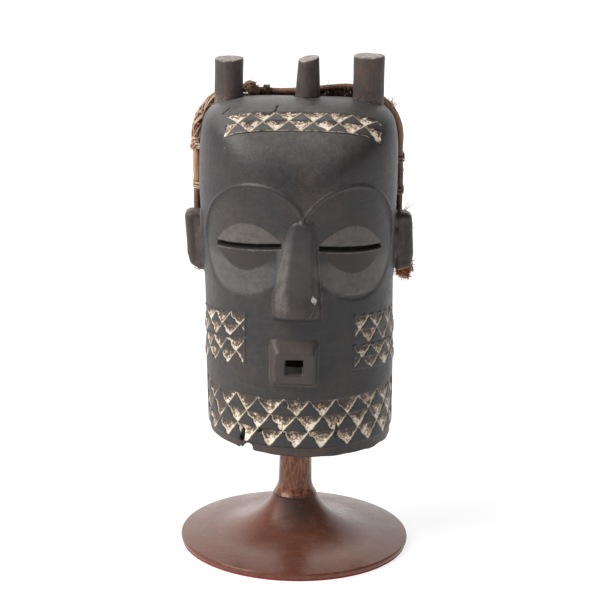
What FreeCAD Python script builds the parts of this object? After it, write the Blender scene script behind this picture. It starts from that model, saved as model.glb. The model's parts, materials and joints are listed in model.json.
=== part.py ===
"""Carved wooden mask on a turned display stand.

The mask is a deep half-barrel shell, open behind and below, with a face in relief, two ears and
three pegs on the crown.  A bent cane and a fibre roll are lashed along its rear edge.  It hangs on
a fitted rest block that turns on the post of a turned wooden foot.

Frame: millimetres, +Z up, the face looks along -Y, and the origin is the centre of the underside.
"""

import FreeCAD, Part
import math
import os
import re

import Sketcher

V = FreeCAD.Vector
OUT = "parts"
SHEET = "sizes"

# Driving dimensions, in millimetres and degrees.  "face" sizes are seen from the front.
SIZES = {
    # stand
    "felt_radius": 105.5,
    "felt_thick": 1.8,
    "foot_radius": 107,
    "foot_edge": 6,
    "foot_neck": 20.5,
    "foot_top": 47,
    "stem_radius": 14.6,
    "stem_top": 374,
    "tenon_radius": 10,
    "tenon_long": 24,
    "running_gap": 0.05,
    "screw_radius": 2.6,
    "screw_head": 5.6,
    "screw_top": 62,
    "pin_radius": 4,
    "pin_deep": 30,
    "pin_rise": 16,
    "washer_radius": 12.5,
    "washer_thick": 2.4,
    # rest block inside the mask
    "block_wide": 72,
    "block_front": 30,
    "block_knee": 16,
    "block_flat": 26,
    "block_back": 34,
    "block_skin": 3,
    "seat_front": 394.4,
    "seat_knee": 401.8,
    "seat_top": 406.2,
    "seat_back": 404.4,
    # shell of the mask
    "rim_height": 110,
    "spring_height": 345,
    "dome_rise": 82.5,
    "half_width_low": 86,
    "half_width_top": 91,
    "lean_low": 4.1,
    "lean_high": -2.2,
    "crown_offset": 12,
    "front_reach": 86,
    "rear_reach": 75,
    "rear_fall": 79.7,
    "rear_plane": 50,
    "side_wall": 14,
    "face_wall": 16,
    "crown_wall": 20,
    # face
    "nose_low": 247,
    "nose_high": 336,
    "nose_wide": 47,
    "nose_bridge": 26,
    "nose_tip": 94,
    "nose_brow": 76,
    "nose_root": 62,
    "eye_side": 46.5,
    "eye_front": 56,
    "eye_turn": 31,
    "socket_height": 312,
    "socket_wide": 45,
    "socket_tall": 52,
    "socket_deep": 8,
    "lid_height": 304,
    "lid_wide": 34,
    "lid_tall": 22,
    "lid_deep": 12,
    "eye_deep": 40,
    "slit_height": 303,
    "slit_wide": 61,
    "slit_deep": 60,
    "slit_tall": 3,
    "slit_tilt": 8,
    "mouth_x": -2.9,
    "mouth_height": 201,
    "mouth_side": 42,
    "mouth_reach": 83,
    "mouth_hole_wide": 17,
    "mouth_hole_tall": 14,
    "mouth_hole_lift": -1.1,
    "band_raise": 1.2,
    "band_groove": 1.5,
    "band_back": 26,
    "chin_low": 122,
    "chin_high": 166,
    "cheek_low": 188,
    "cheek_mid": 213,
    "cheek_high": 238,
    "cheek_inner": 48,
    "brow_band_low": 406,
    "brow_band_back": 23,
    "brow_band_half": 70,
    # ears
    "ear_root": 80.5,
    "ear_low": 263,
    "ear_high": 317,
    "ear_reach": 106,
    "ear_front": 11.4,
    "ear_thick": 18.6,
    "ear_scoop": 14,
    # pegs on the crown
    "peg_back": 26,
    "peg_seat": 409,
    "left_peg_x": -67.5,
    "left_peg_radius": 13.2,
    "left_peg_top": 461,
    "right_peg_x": 60.5,
    "right_peg_radius": 14.4,
    "right_peg_top": 466,
    "middle_peg_x": 4.5,
    "middle_peg_foot": 12,
    "middle_peg_head": 9.6,
    "middle_peg_top": 463.5,
    "middle_peg_slant": 11,
    "middle_peg_drop": 9,
    # cane, fibre roll and lashings along the rear edge
    "cane_radius": 3.5,
    "cane_y": 48.5,
    "cane_low": 268,
    "cane_left_low": 94.5,
    "cane_left_high": 98.3,
    "cane_right": 92.3,
    "cane_top": 427,
    "cane_bend": 44.5,
    "roll_radius": 4.2,
    "roll_y": 55.5,
    "roll_left_low": 88,
    "roll_left_high": 91,
    "roll_right_low": 84.5,
    "roll_right_high": 86.5,
    "roll_top": 416.5,
    "roll_bend": 37,
    "strand_radius": 0.9,
    "hole_radius": 3.6,
    "hole_y": 39,
    "hole_root": 60,
    "crown_hole_low": 392,
    "lash_pitch": 2.1,
    "left_tuft_x": -93.5,
    "right_tuft_x": 96,
    "tuft_y": 57,
    "tuft_long": 26,
    "tuft_radius": 7,
    "knot_x": -49,
    "knot_radius": 7,
    "sleeve_radius": 4.15,
}
CORNER_POWER = 5.5  # squareness of the shoulders seen from the front
PLAN_POWER = 4  # squareness of the plan behind its widest line
SECTION_POINTS = 44
SIDES = (-1, 1)
LEG_LASHINGS = {-1: (292, 334, 373), 1: (297, 332, 363)}
CROWN_LASHINGS = (-33, 42)
TURNS = 3
WORDS = ("left", "right")
LOOP_BEND = 3.4
LOOP_SLACK = 2  # how far a turn of raffia stands off what it holds
LOOP_ROOT = 3.4  # how far a turn reaches inside the side wall
EAR_TURN = 1  # degrees that the ears stand askew
SLEEVE_SHARE = 0.72  # of the left shoulder's bend that the raffia sleeve covers
FAR = 150  # farther out than any part of the mask
TOOL = 60  # length of a tool that cuts clear through a wall
BELOW = 20  # how far the barrel is made past its ends before it is cut to length
DOME_SHARES = (0, 0.2, 0.38, 0.53, 0.65, 0.75, 0.83, 0.9, 0.95, 0.985)  # of the crown's rise
DOME_DEGREE = 3


# ---- document and spreadsheet ----------------------------------------------------------------
doc = FreeCAD.newDocument("mask_on_stand")
sheet = doc.addObject("Spreadsheet::Sheet", SHEET)


def fill_sheet():
    for row, (alias, size) in enumerate(SIZES.items(), start=1):
        sheet.set(f"A{row}", alias.replace("_", " "))
        sheet.set(f"B{row}", str(size))
        sheet.setAlias(f"B{row}", alias)
    doc.recompute()


def size(expression):
    """The value of an expression over the sheet's aliases."""
    return float(sheet.evalExpression(expression))


def bound(expression):
    """The same expression as another object of the document has to write it."""
    return re.sub("[a-z_]+", lambda word: f"{SHEET}.{word[0]}", expression)


def bind(thing, **expressions):
    for name, expression in expressions.items():
        thing.setExpression(name, bound(expression))


def place(thing, x="0", y="0", z="0", turn=None):
    """Binds a placement to the sheet; turn is (axis, degrees)."""
    if turn:
        axis, degrees = turn
        thing.Placement = FreeCAD.Placement(V(), FreeCAD.Rotation(axis, degrees))
    bind(thing, **{"Placement.Base.x": x, "Placement.Base.y": y, "Placement.Base.z": z})
    return thing


def primitive(kind, name, **expressions):
    thing = doc.addObject(f"Part::{kind}", name)
    bind(thing, **expressions)
    return thing


def fused(name, things):
    joined = doc.addObject("Part::MultiFuse", name)
    joined.Shapes = things
    return joined


def cut(name, base, tool):
    left = doc.addObject("Part::Cut", name)
    left.Base = base
    left.Tool = tool
    return left


def feature(name, shape):
    """A Part::Feature for a shape that sketches and primitives can't give."""
    thing = doc.addObject("Part::Feature", name)
    thing.Shape = shape
    return thing


# ---- sketched bodies ------------------------------------------------------------------------
def new_body(name):
    thing = doc.addObject("PartDesign::Body", name)
    thing.Label = name
    return thing


def hold(sketch, element, end, x, y):
    """Holds an element's end (1 first, 2 last) at two expressions."""
    for kind, axis, expression in (("DistanceX", -2, x), ("DistanceY", -1, y)):
        if expression == "0":
            sketch.addConstraint(Sketcher.Constraint("PointOnObject", element, end, axis))
            continue
        length = Sketcher.Constraint(kind, -1, 1, element, end, size(expression))
        index = sketch.addConstraint(length)
        sketch.setExpression(f"Constraints[{index}]", bound(expression))


def add_arc(sketch, start, middle, end):
    """Adds an arc and says which of its ends is the start: a sketch keeps arcs anticlockwise."""
    if (middle - start).cross(end - middle).z > 0:
        sketch.addGeometry(Part.Arc(start, middle, end))
        return 1
    sketch.addGeometry(Part.Arc(end, middle, start))
    return 2


def outline(body, role, corners):
    """A closed sketch.  A corner is (x, y), or (x, y, bow) where an arc starts there: bow is how
    far the arc's middle lies from its chord's, as an (x, y) pair."""
    sketch = body.newObject("Sketcher::SketchObject", f"{body.Name}_outline")
    origin_plane = next(f for f in body.Origin.OriginFeatures if f.Role == role)
    sketch.AttachmentSupport = (origin_plane, [""])
    sketch.MapMode = "FlatFace"
    count = len(corners)
    first_ends, arcs = [], {}
    for i, corner in enumerate(corners):
        following = corners[(i + 1) % count]
        start, end = (V(size(c[0]), size(c[1]), 0) for c in (corner, following))
        if len(corner) == 3:
            arcs[i] = [f"( ( {corner[k]} ) + ( {following[k]} ) ) / 2 + ( {corner[2][k]} )"
                       for k in (0, 1)]
            middle = V(size(arcs[i][0]), size(arcs[i][1]), 0)
            first_ends.append(add_arc(sketch, start, middle, end))
        else:
            sketch.addGeometry(Part.LineSegment(start, end))
            first_ends.append(1)
    for i, first in enumerate(first_ends):
        after = (i + 1) % count
        joint = Sketcher.Constraint("Coincident", i, 3 - first, after, first_ends[after])
        sketch.addConstraint(joint)
        hold(sketch, i, first, corners[i][0], corners[i][1])
    for i, (x, y) in arcs.items():
        point = sketch.addGeometry(Part.Point(V(size(x), size(y), 0)), True)
        sketch.addConstraint(Sketcher.Constraint("PointOnObject", point, 1, i))
        hold(sketch, point, 1, x, y)
    return sketch


def turned(name, corners):
    """A body revolved about Z from a half section of (radius, height) corners."""
    thing = new_body(name)
    sketch = outline(thing, "XZ_Plane", corners)
    turn = thing.newObject("PartDesign::Revolution", f"{name}_turn")
    turn.Profile = sketch
    turn.ReferenceAxis = (sketch, ["V_Axis"])
    turn.Angle = 360
    return thing


# ---- stand ----------------------------------------------------------------------------------
def make_stand():
    """Felt, trumpet foot, post, its screw, and the pin and washer that the rest block turns on."""
    screw_hole = "screw_radius + running_gap"
    tenon_hole = "tenon_radius + running_gap"
    tenon_foot = "foot_top - tenon_long"
    turned("base_felt", [("0", "0"), ("felt_radius", "0"), ("felt_radius", "felt_thick"),
                         ("0", "felt_thick")])
    turned("stand_base", [
        ("screw_head + 1", "felt_thick"),
        ("foot_radius - 1.5", "felt_thick", ("1.1", "0")),
        ("foot_radius - 0.8", "foot_edge + 1", ("0.06", "0.35")),
        ("foot_radius * 0.72", "foot_edge + 5.8", ("-0.85", "-2.35")),
        ("foot_radius * 0.36", "foot_edge + 19.7", ("-1.74", "-1.47")),
        ("foot_neck", "foot_top"),
        (tenon_hole, "foot_top"),
        (tenon_hole, tenon_foot),
        (screw_hole, tenon_foot),
        (screw_hole, "felt_thick + 6"),
        ("screw_head + 1", "felt_thick + 6"),
    ])
    turned("base_screw", [
        ("0", "felt_thick + 1.5"),
        ("screw_head", "felt_thick + 1.5"),
        ("screw_head", "felt_thick + 5.95"),
        ("screw_radius", "felt_thick + 5.95"),
        ("screw_radius", "screw_top - 4"),
        ("0", "screw_top"),
    ])
    turned("stand_post", [
        (screw_hole, "foot_top - tenon_long + 0.1"),
        ("tenon_radius", "foot_top - tenon_long + 0.1"),
        ("tenon_radius", "foot_top"),
        ("foot_neck - 0.4", "foot_top"),
        ("foot_neck - 0.4", "foot_top + 1.5", ("-1.2", "-0.6")),
        ("stem_radius + 0.9", "foot_top + 16"),
        ("stem_radius", "foot_top + 60"),
        ("stem_radius - 0.6", "stem_top"),
        ("pin_radius", "stem_top"),
        ("pin_radius", "stem_top - pin_deep"),
        ("0", "stem_top - pin_deep"),
        ("0", "screw_top + 2"),
        (screw_hole, "screw_top + 2"),
    ])
    turned("pivot_pin", [
        ("0", "stem_top - pin_deep"),
        ("pin_radius", "stem_top - pin_deep"),
        ("pin_radius", "stem_top + pin_rise - 1"),
        ("pin_radius - 1", "stem_top + pin_rise"),
        ("0", "stem_top + pin_rise"),
    ])
    turned("pivot_washer", [
        ("pin_radius + running_gap", "stem_top"),
        ("washer_radius", "stem_top"),
        ("washer_radius", "stem_top + washer_thick"),
        ("pin_radius + running_gap", "stem_top + washer_thick"),
    ])


# ---- the mask's barrel ----------------------------------------------------------------------
SPRING = SIZES["spring_height"]
DOME_RISE = SIZES["dome_rise"]
OFFSET = SIZES["crown_offset"]
FRONT = SIZES["front_reach"]
REAR = SIZES["rear_reach"]
FALL = SIZES["rear_fall"]


def half_width(z):
    return by_height(z, "half_width_low", "half_width_top")


def lean(z):
    """How far to the right the barrel's middle stands at a height: the block is a little askew."""
    return by_height(z, "lean_low", "lean_high")


def by_height(z, at_rim, at_spring):
    """A size that changes evenly from the rim up to the spring of the crown."""
    low, top = size(at_rim), size(at_spring)
    share = (z - size("rim_height")) / (size("spring_height") - size("rim_height"))
    return low + (top - low) * min(share, 1)


def in_barrel(x, y, z, sides, face, crown):
    """True inside the barrel drawn in by these three walls (negative walls swell it)."""
    along = abs(x) / (half_width(z) - sides)
    rise = DOME_RISE - crown
    up = max(0, z - SPRING) / rise
    back = y - OFFSET
    if back < 0:
        reach = FRONT - face
        if -back >= reach:
            return False
        shrink = math.sqrt(1 - (back / reach) ** 2)
        return along**CORNER_POWER + up**CORNER_POWER < shrink**CORNER_POWER
    if back >= min(REAR, FALL):
        return False
    plan = (1 - (back / REAR) ** PLAN_POWER) ** (1 / PLAN_POWER)
    fall = math.sqrt(1 - (back / FALL) ** 2)
    return (along / plan) ** CORNER_POWER + (up / fall) ** CORNER_POWER < 1


def section(z, walls):
    """The barrel's closed outline at a height, found by bisection out from its middle line."""
    points, shift = [], lean(z)
    for step in range(SECTION_POINTS):
        angle = math.pi / 2 + 2 * math.pi * step / SECTION_POINTS
        across, along = math.cos(angle), math.sin(angle)
        near, far = 0.0, 130.0
        while far - near > 1e-4:
            middle = (near + far) / 2
            if in_barrel(across * middle, OFFSET + along * middle, z, *walls):
                near = middle
            else:
                far = middle
        points.append(V(shift + across * near, OFFSET + along * near, z))
    curve = Part.BSplineCurve()
    curve.interpolate(Points=points, PeriodicFlag=True)
    return Part.Wire([curve.toShape()])


def barrel(sides, face, crown, low, back):
    """The barrel drawn in by three walls, as a solid above a height and in front of a plane."""
    walls = (sides, face, crown)
    start, rise = SIZES["rim_height"] - BELOW, DOME_RISE - crown
    straight = Part.makeLoft([section(start, walls), section(SPRING, walls)], True, True)
    rings = [section(SPRING + rise * share, walls) for share in DOME_SHARES]
    dome = Part.makeLoft(rings, True, False, False, DOME_DEGREE)
    field = Part.makeBox(2 * FAR, 2 * FAR, 4 * FAR, V(-FAR, back - 2 * FAR, low))
    return straight.fuse(dome).common(field)


# ---- cane, roll and lashings ----------------------------------------------------------------
def rounded_path(points, bend):
    """A wire of straight runs joined by tangent arcs at the inner points."""
    edges, start = [], points[0]
    for before, corner, after in zip(points, points[1:], points[2:]):
        inward, outward = (before - corner).normalize(), (after - corner).normalize()
        half = inward.getAngle(outward) / 2
        trim = bend / math.tan(half)
        first, last = corner + inward * trim, corner + outward * trim
        centre = corner + (inward + outward).normalize() * (bend / math.sin(half))
        middle = centre + (corner - centre).normalize() * bend
        edges.append(Part.LineSegment(start, first).toShape())
        edges.append(Part.Arc(first, middle, last).toShape())
        start = last
    edges.append(Part.LineSegment(start, points[-1]).toShape())
    return Part.Wire(edges)


def tube(path, radius):
    """A round bar along a wire."""
    start = path.OrderedEdges[0]
    direction = start.tangentAt(start.FirstParameter)
    ring = Part.Wire([Part.makeCircle(radius, start.valueAt(start.FirstParameter), direction)])
    return path.makePipeShell([ring], True, False)


def arch(y, low, top, bend, left, right):
    """A bent stick's line: up the left leg, over the crown and down the right.  Each leg is how far
    out it stands at its foot and at its top."""
    points = [V(-left[0], y, low), V(-left[1], y, top), V(right[1], y, top), V(right[0], y, low)]
    return rounded_path(points, bend)


def cane_line():
    left = size("cane_left_low"), size("cane_left_high")
    right = size("cane_right"), size("cane_right")
    return arch(size("cane_y"), size("cane_low"), size("cane_top"), size("cane_bend"), left, right)


def loop(corners):
    """One closed turn of raffia through four points of one plane."""
    middle = (corners[0] + corners[1]) * 0.5
    path = rounded_path([middle, *corners[1:], corners[0], middle], LOOP_BEND)
    return tube(path, size("strand_radius"))


def leg_loop(side, z):
    """Through the side wall and round the cane and the roll."""
    inner = side * (half_width(z) - size("side_wall") - LOOP_ROOT) + lean(z)
    cane_x = size("cane_right") if side > 0 else size("cane_left_high")
    outer = side * (cane_x + size("cane_radius") + LOOP_SLACK)
    front, back = size("hole_y"), size("roll_y + roll_radius") + LOOP_SLACK
    return loop([V(inner, front, z), V(outer, front, z), V(outer, back, z), V(inner, back, z)])


def crown_loop(x):
    """Through the crown and round the cane and the roll."""
    low, high = size("crown_hole_low"), size("cane_top + cane_radius") + LOOP_SLACK
    front, back = size("hole_y"), size("roll_y + roll_radius") + LOOP_SLACK
    return loop([V(x, front, low), V(x, front, high), V(x, back, high), V(x, back, low)])


def make_lashings():
    """Three turns of raffia at each pair of holes: two legs and the crown."""
    pitch = size("lash_pitch")
    offsets = [pitch * (turn - (TURNS - 1) / 2) for turn in range(TURNS)]
    for side, word in zip(SIDES, WORDS):
        turns = [leg_loop(side, z + shift) for z in LEG_LASHINGS[side] for shift in offsets]
        feature(f"{word}_lashings", Part.makeCompound(turns))
    turns = [crown_loop(x + shift) for x in CROWN_LASHINGS for shift in offsets]
    feature("crown_lashings", Part.makeCompound(turns))


def make_rim():
    """The bent cane, the fibre roll, the sleeve on the left shoulder, and the loose ends."""
    radius = size("cane_radius")
    feature("rim_cane", tube(cane_line(), radius))
    left = size("roll_left_low"), size("roll_left_high")
    right = size("roll_right_low"), size("roll_right_high")
    roll_line = arch(size("roll_y"), size("cane_low"), size("roll_top"), size("roll_bend"),
                     left, right)
    feature("rim_roll", tube(roll_line, size("roll_radius")))
    bend = cane_line().OrderedEdges[1]
    stop = bend.FirstParameter + SLEEVE_SHARE * (bend.LastParameter - bend.FirstParameter)
    shoulder = Part.Wire([bend.Curve.toShape(bend.FirstParameter, stop)])
    sleeve = tube(shoulder, size("sleeve_radius")).cut(tube(shoulder, radius + size("running_gap")))
    feature("cane_wrap", sleeve)
    knot = primitive("Sphere", "crown_knot_ball", Radius="knot_radius")
    place(knot, "knot_x", "cane_y", "cane_top + 1", turn=(V(0, 0, 1), 60))
    core = primitive("Cylinder", "crown_knot_core", Radius="cane_radius + running_gap",
                     Height=f"{TOOL}")
    place(core, f"knot_x - {TOOL} / 2", "cane_y", "cane_top", turn=(V(0, 1, 0), 90))
    cut("crown_knot", knot, core)
    for word in WORDS:
        tuft = primitive("Cone", f"{word}_tuft", Radius1="tuft_radius * 0.5", Radius2="tuft_radius",
                         Height="tuft_long")
        foot = "cane_low - tuft_long - 0.2"
        place(tuft, f"{word}_tuft_x", "tuft_y", foot)


# ---- relief on the face ---------------------------------------------------------------------
def mirrored(side, expression):
    """The expression on the right (+1), or its mirror image on the left (-1)."""
    return expression if side > 0 else f"-( {expression} )"


def make_nose():
    """A tapered wedge: wide and far out at the bottom, narrow and nearly flush at the brows."""
    thing = primitive("Wedge", "nose", Xmin="-nose_wide / 2", Xmax="nose_wide / 2",
                      X2min="-nose_bridge / 2", X2max="nose_bridge / 2", Ymin="0",
                      Ymax="nose_high - nose_low", Zmin="nose_root", Zmax="nose_tip",
                      Z2min="nose_root", Z2max="nose_brow")
    return place(thing, z="nose_low", turn=(V(1, 0, 0), 90))


def make_mouth():
    block = primitive("Box", "mouth_block", Length="mouth_side", Width="mouth_reach - nose_root",
                      Height="mouth_side")
    return place(block, "mouth_x - mouth_side / 2", "-mouth_reach", "mouth_height - mouth_side / 2")


def make_ear(side, word):
    """A thick ear that stands out sideways, scooped on its front."""
    ear = primitive("Box", f"{word}_ear_block", Length="ear_reach - ear_root", Width="ear_thick",
                    Height="ear_high - ear_low")
    place(ear, "-ear_reach" if side < 0 else "ear_root", "ear_front", "ear_low",
          turn=(V(0, 0, 1), EAR_TURN))
    scoop = primitive("Cylinder", f"{word}_ear_scoop", Radius="ear_scoop", Height="10")
    place(scoop, mirrored(side, "ear_reach - 3"), "ear_front + 5", "( ear_low + ear_high ) / 2",
          turn=(V(1, 0, 0), 90))
    return cut(f"{word}_ear", ear, scoop)


def make_bands():
    """Thin raised plates under the carved triangles: chin band, cheek panels and forehead band."""
    lift = size("band_raise")
    swollen = barrel(-lift, -lift, -lift, size("rim_height"), size("band_back"))
    inner, half_groove = size("cheek_inner"), size("band_groove") / 2
    fields = [
        (-FAR, FAR, -FAR, FAR, size("chin_low"), size("chin_high")),
        (-size("brow_band_half"), size("brow_band_half"), -FAR, -size("brow_band_back"),
         size("brow_band_low"), FAR * 3),
    ]
    for side in SIDES:
        near, far = sorted((side * inner, side * FAR))
        fields.append((near, far, -FAR, FAR, size("cheek_low"), size("cheek_mid") - half_groove))
        fields.append((near, far, -FAR, FAR, size("cheek_mid") + half_groove, size("cheek_high")))
    boxes = [Part.makeBox(right - left, back - front, high - low, V(left, front, low))
             for left, right, front, back, low, high in fields]
    return feature("raised_bands", swollen.common(Part.makeCompound(boxes)))


def facing(side, roll=0):
    """Turns local Z to point out of an eye, with local X across it (or up it, rolled 90)."""
    out = FreeCAD.Rotation(V(1, 0, 0), 90)
    return eye_slope(side).multiply(out).multiply(FreeCAD.Rotation(V(0, 0, 1), roll))


def eye_slope(side):
    return FreeCAD.Rotation(V(0, 0, 1), side * size("eye_turn"))


def set_at_eye(thing, side, height, turn):
    """Puts a thing's origin at the middle of an eye, at a height."""
    thing.Placement = FreeCAD.Placement(V(), turn)
    return place(thing, mirrored(side, "eye_side"), "-eye_front", height)


def make_socket(side, word):
    """An oval prism through an eye."""
    oval = primitive("Ellipse", f"{word}_socket_oval", MajorRadius="socket_tall",
                     MinorRadius="socket_wide")
    set_at_eye(oval, side, "socket_height", facing(side, 90))
    prism = doc.addObject("Part::Extrusion", f"{word}_socket")
    prism.Base = oval
    prism.DirMode = "Normal"
    prism.Solid = True
    bind(prism, LengthFwd="eye_deep", LengthRev="eye_deep")
    return prism


def make_lid(side, word):
    """The almond swelling of the closed lids."""
    lid = primitive("Ellipsoid", f"{word}_lid", Radius1="lid_deep", Radius2="lid_wide",
                    Radius3="lid_tall")
    return set_at_eye(lid, side, "lid_height", facing(side))


def make_slit(side, word):
    """The slot between the lids, cut through the wall and a little lower at its outer end."""
    slit = primitive("Box", f"{word}_slit", Length="slit_wide", Width="slit_deep",
                     Height="slit_tall")
    turn = eye_slope(side).multiply(FreeCAD.Rotation(V(0, 1, 0), side * size("slit_tilt")))
    centre = V(side * size("eye_side"), -size("eye_front"), size("slit_height"))
    half = V(size("slit_wide / 2"), size("slit_deep / 2"), size("slit_tall / 2"))
    slit.Placement = FreeCAD.Placement(centre - turn.multVec(half), turn)
    return slit


def hollow():
    """The empty inside of the mask as a solid, open below and behind."""
    return barrel(size("side_wall"), size("face_wall"), size("crown_wall"),
                  size("rim_height") - BELOW, size("rear_plane") + BELOW)


def lashing_holes():
    holes = []
    radius, y = size("hole_radius"), size("hole_y")
    for side in SIDES:
        for z in LEG_LASHINGS[side]:
            root = V(side * size("hole_root"), y, z)
            holes.append(Part.makeCylinder(radius, TOOL, root, V(side, 0, 0)))
    for x in CROWN_LASHINGS:
        holes.append(Part.makeCylinder(radius, TOOL, V(x, y, size("crown_hole_low")), V(0, 0, 1)))
    return feature("lashing_holes", Part.makeCompound(holes))


def make_shell():
    """The carved block: barrel and relief, less eye dishes, hollow, slits, mouth and holes."""
    sides = list(zip(SIDES, WORDS))
    ears = [make_ear(side, word) for side, word in sides]
    plain = feature("barrel", barrel(0, 0, 0, size("rim_height"), size("rear_plane")))
    solid = fused("eared_barrel", [plain, *ears])
    depth = size("socket_deep")
    floor = feature("socket_floor", barrel(depth, depth, depth, size("rim_height") - BELOW,
                                           size("rear_plane")))
    sockets = fused("sockets", [make_socket(side, word) for side, word in sides])
    lids = [make_lid(side, word) for side, word in sides]
    slits = [make_slit(side, word) for side, word in sides]
    dished = cut("dished_barrel", solid, cut("eye_dishes", sockets, floor))
    relief = fused("relief", [dished, make_bands(), *lids, make_nose(), make_mouth()])
    mouth_hole = primitive("Box", "mouth_hole", Length="mouth_hole_wide", Width=f"{TOOL}",
                           Height="mouth_hole_tall")
    place(mouth_hole, "mouth_x - mouth_hole_wide / 2", "-mouth_reach - 2",
          "mouth_height - mouth_hole_tall / 2 + mouth_hole_lift")
    empty = [feature("hollow", hollow()), mouth_hole, lashing_holes(), *slits]
    empty.extend(peg_sockets())
    cut("mask_shell", relief, fused("cut_away", empty))


# ---- pegs -----------------------------------------------------------------------------------
def peg_sockets():
    """Blind holes in the crown, a little wider than the pegs."""
    sockets = []
    for word, radius in (("left", "left_peg_radius"), ("middle", "middle_peg_foot"),
                         ("right", "right_peg_radius")):
        hole = primitive("Cylinder", f"{word}_peg_hole", Radius=f"{radius} + running_gap",
                         Height=f"{TOOL}")
        sockets.append(place(hole, f"{word}_peg_x", "peg_back", "peg_seat"))
    return sockets


def make_pegs():
    """Two round pegs at the shoulders and a tapered one with a slanted top between them."""
    for word in WORDS:
        peg = primitive("Cylinder", f"{word}_peg", Radius=f"{word}_peg_radius",
                        Height=f"{word}_peg_top - peg_seat")
        place(peg, f"{word}_peg_x", "peg_back", "peg_seat")
    cone = primitive("Cone", "middle_peg_cone", Radius1="middle_peg_foot",
                     Radius2="middle_peg_head", Height="middle_peg_top - peg_seat")
    place(cone, "middle_peg_x", "peg_back", "peg_seat")
    slant = primitive("Box", "middle_peg_slant", Length=f"{TOOL}", Width=f"{TOOL}",
                      Height="20")
    place(slant, f"middle_peg_x - {TOOL} / 2", f"peg_back - {TOOL} / 2",
          "middle_peg_top - middle_peg_drop", turn=(V(1, 0, 0), size("middle_peg_slant")))
    cut("middle_peg", cone, slant)


# ---- rest block -----------------------------------------------------------------------------
def block_profile(drop):
    """Corners in the YZ plane: flat below, and under the hollow's ceiling on top by a drop."""
    foot = "stem_top + washer_thick"
    line = [("-block_front", "seat_front"), ("-block_knee", "seat_knee"), ("0", "seat_top"),
            ("block_flat", "seat_top"), ("block_back", "seat_back")]
    top = [(y, f"{z} - {drop}") for y, z in line]
    return [("-block_front", foot), ("block_back", foot), *reversed(top)], top


def padded(name, corners):
    """A body as wide as the block, from a profile in the YZ plane."""
    thing = new_body(name)
    sketch = outline(thing, "YZ_Plane", corners)
    pad = thing.newObject("PartDesign::Pad", f"{name}_pad")
    pad.Profile = sketch
    pad.Midplane = True
    bind(pad, Length="block_wide")
    return thing


def make_rest():
    """A block that fits the crown's hollow, with a felt skin and a bore for the pivot pin."""
    wood_corners, wood_top = block_profile("block_skin")
    felt_top = block_profile("0")[1]
    blank = padded("block_blank", wood_corners)
    bore = primitive("Cylinder", "block_bore", Radius="pin_radius + running_gap",
                     Height="pin_rise + 0.4")
    place(bore, z="stem_top")
    cut("rest_block", blank, bore)
    padded("rest_felt", [*wood_top, *reversed(felt_top)])


# ---- check and export -----------------------------------------------------------------------
NODES = [
    "base_felt", "stand_base", "base_screw", "stand_post", "pivot_pin", "pivot_washer",
    "rest_block", "rest_felt", "mask_shell", "left_peg", "middle_peg", "right_peg", "rim_cane",
    "rim_roll", "cane_wrap", "left_lashings", "right_lashings", "crown_lashings", "crown_knot",
    "left_tuft", "right_tuft",
]


def check_document():
    """Stops if any object of the document failed or holds a bad shape."""
    doc.recompute()
    for thing in doc.Objects:
        if "Invalid" in thing.State or "Error" in thing.State:
            raise RuntimeError(f"{thing.Name} did not compute: {thing.State}")
        shape = getattr(thing, "Shape", None)
        if shape is not None and (shape.isNull() or not shape.isValid()):
            raise RuntimeError(f"{thing.Name} has a bad shape")


def export():
    os.makedirs(OUT, exist_ok=True)
    for name in NODES:
        node = doc.getObject(name)
        node.Label = name
        node.Shape.exportStep(os.path.join(OUT, f"{name}.step"))
        box = node.Shape.BoundBox
        print(f"{name:16s} {len(node.Shape.Solids):2d} solids {node.Shape.Volume / 1000:9.2f} cm3"
              f"  x {box.XMin:7.1f} {box.XMax:6.1f}  y {box.YMin:7.1f} {box.YMax:6.1f}"
              f"  z {box.ZMin:6.1f} {box.ZMax:6.1f}")


fill_sheet()
make_stand()
make_rest()
make_shell()
make_pegs()
make_rim()
make_lashings()
check_document()
export()
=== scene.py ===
"""The looks of the carved mask: one carved shell from a signed field, pegs, cane, raffia, stand."""
import json
import math
import random
from collections import Counter

import bpy
import numpy as np
import openvdb
from mathutils import Matrix, Vector


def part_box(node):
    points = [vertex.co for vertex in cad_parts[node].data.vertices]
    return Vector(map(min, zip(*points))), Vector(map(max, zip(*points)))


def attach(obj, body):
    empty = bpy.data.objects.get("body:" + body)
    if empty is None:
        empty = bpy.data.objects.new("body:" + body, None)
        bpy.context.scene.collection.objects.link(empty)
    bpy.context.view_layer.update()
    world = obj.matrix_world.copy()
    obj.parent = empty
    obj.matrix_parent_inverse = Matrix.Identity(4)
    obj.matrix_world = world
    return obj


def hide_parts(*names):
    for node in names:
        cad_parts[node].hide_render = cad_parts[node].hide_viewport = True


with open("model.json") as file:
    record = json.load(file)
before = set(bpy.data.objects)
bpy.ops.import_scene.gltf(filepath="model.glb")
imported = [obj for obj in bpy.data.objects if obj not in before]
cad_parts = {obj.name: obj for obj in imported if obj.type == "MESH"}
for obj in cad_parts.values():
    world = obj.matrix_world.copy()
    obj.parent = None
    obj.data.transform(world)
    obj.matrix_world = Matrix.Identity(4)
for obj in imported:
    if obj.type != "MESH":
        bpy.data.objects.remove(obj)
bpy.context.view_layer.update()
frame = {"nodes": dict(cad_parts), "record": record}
random.seed(11)
MM = 0.001
BACKWARD = Vector((0, 1, 0))

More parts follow.
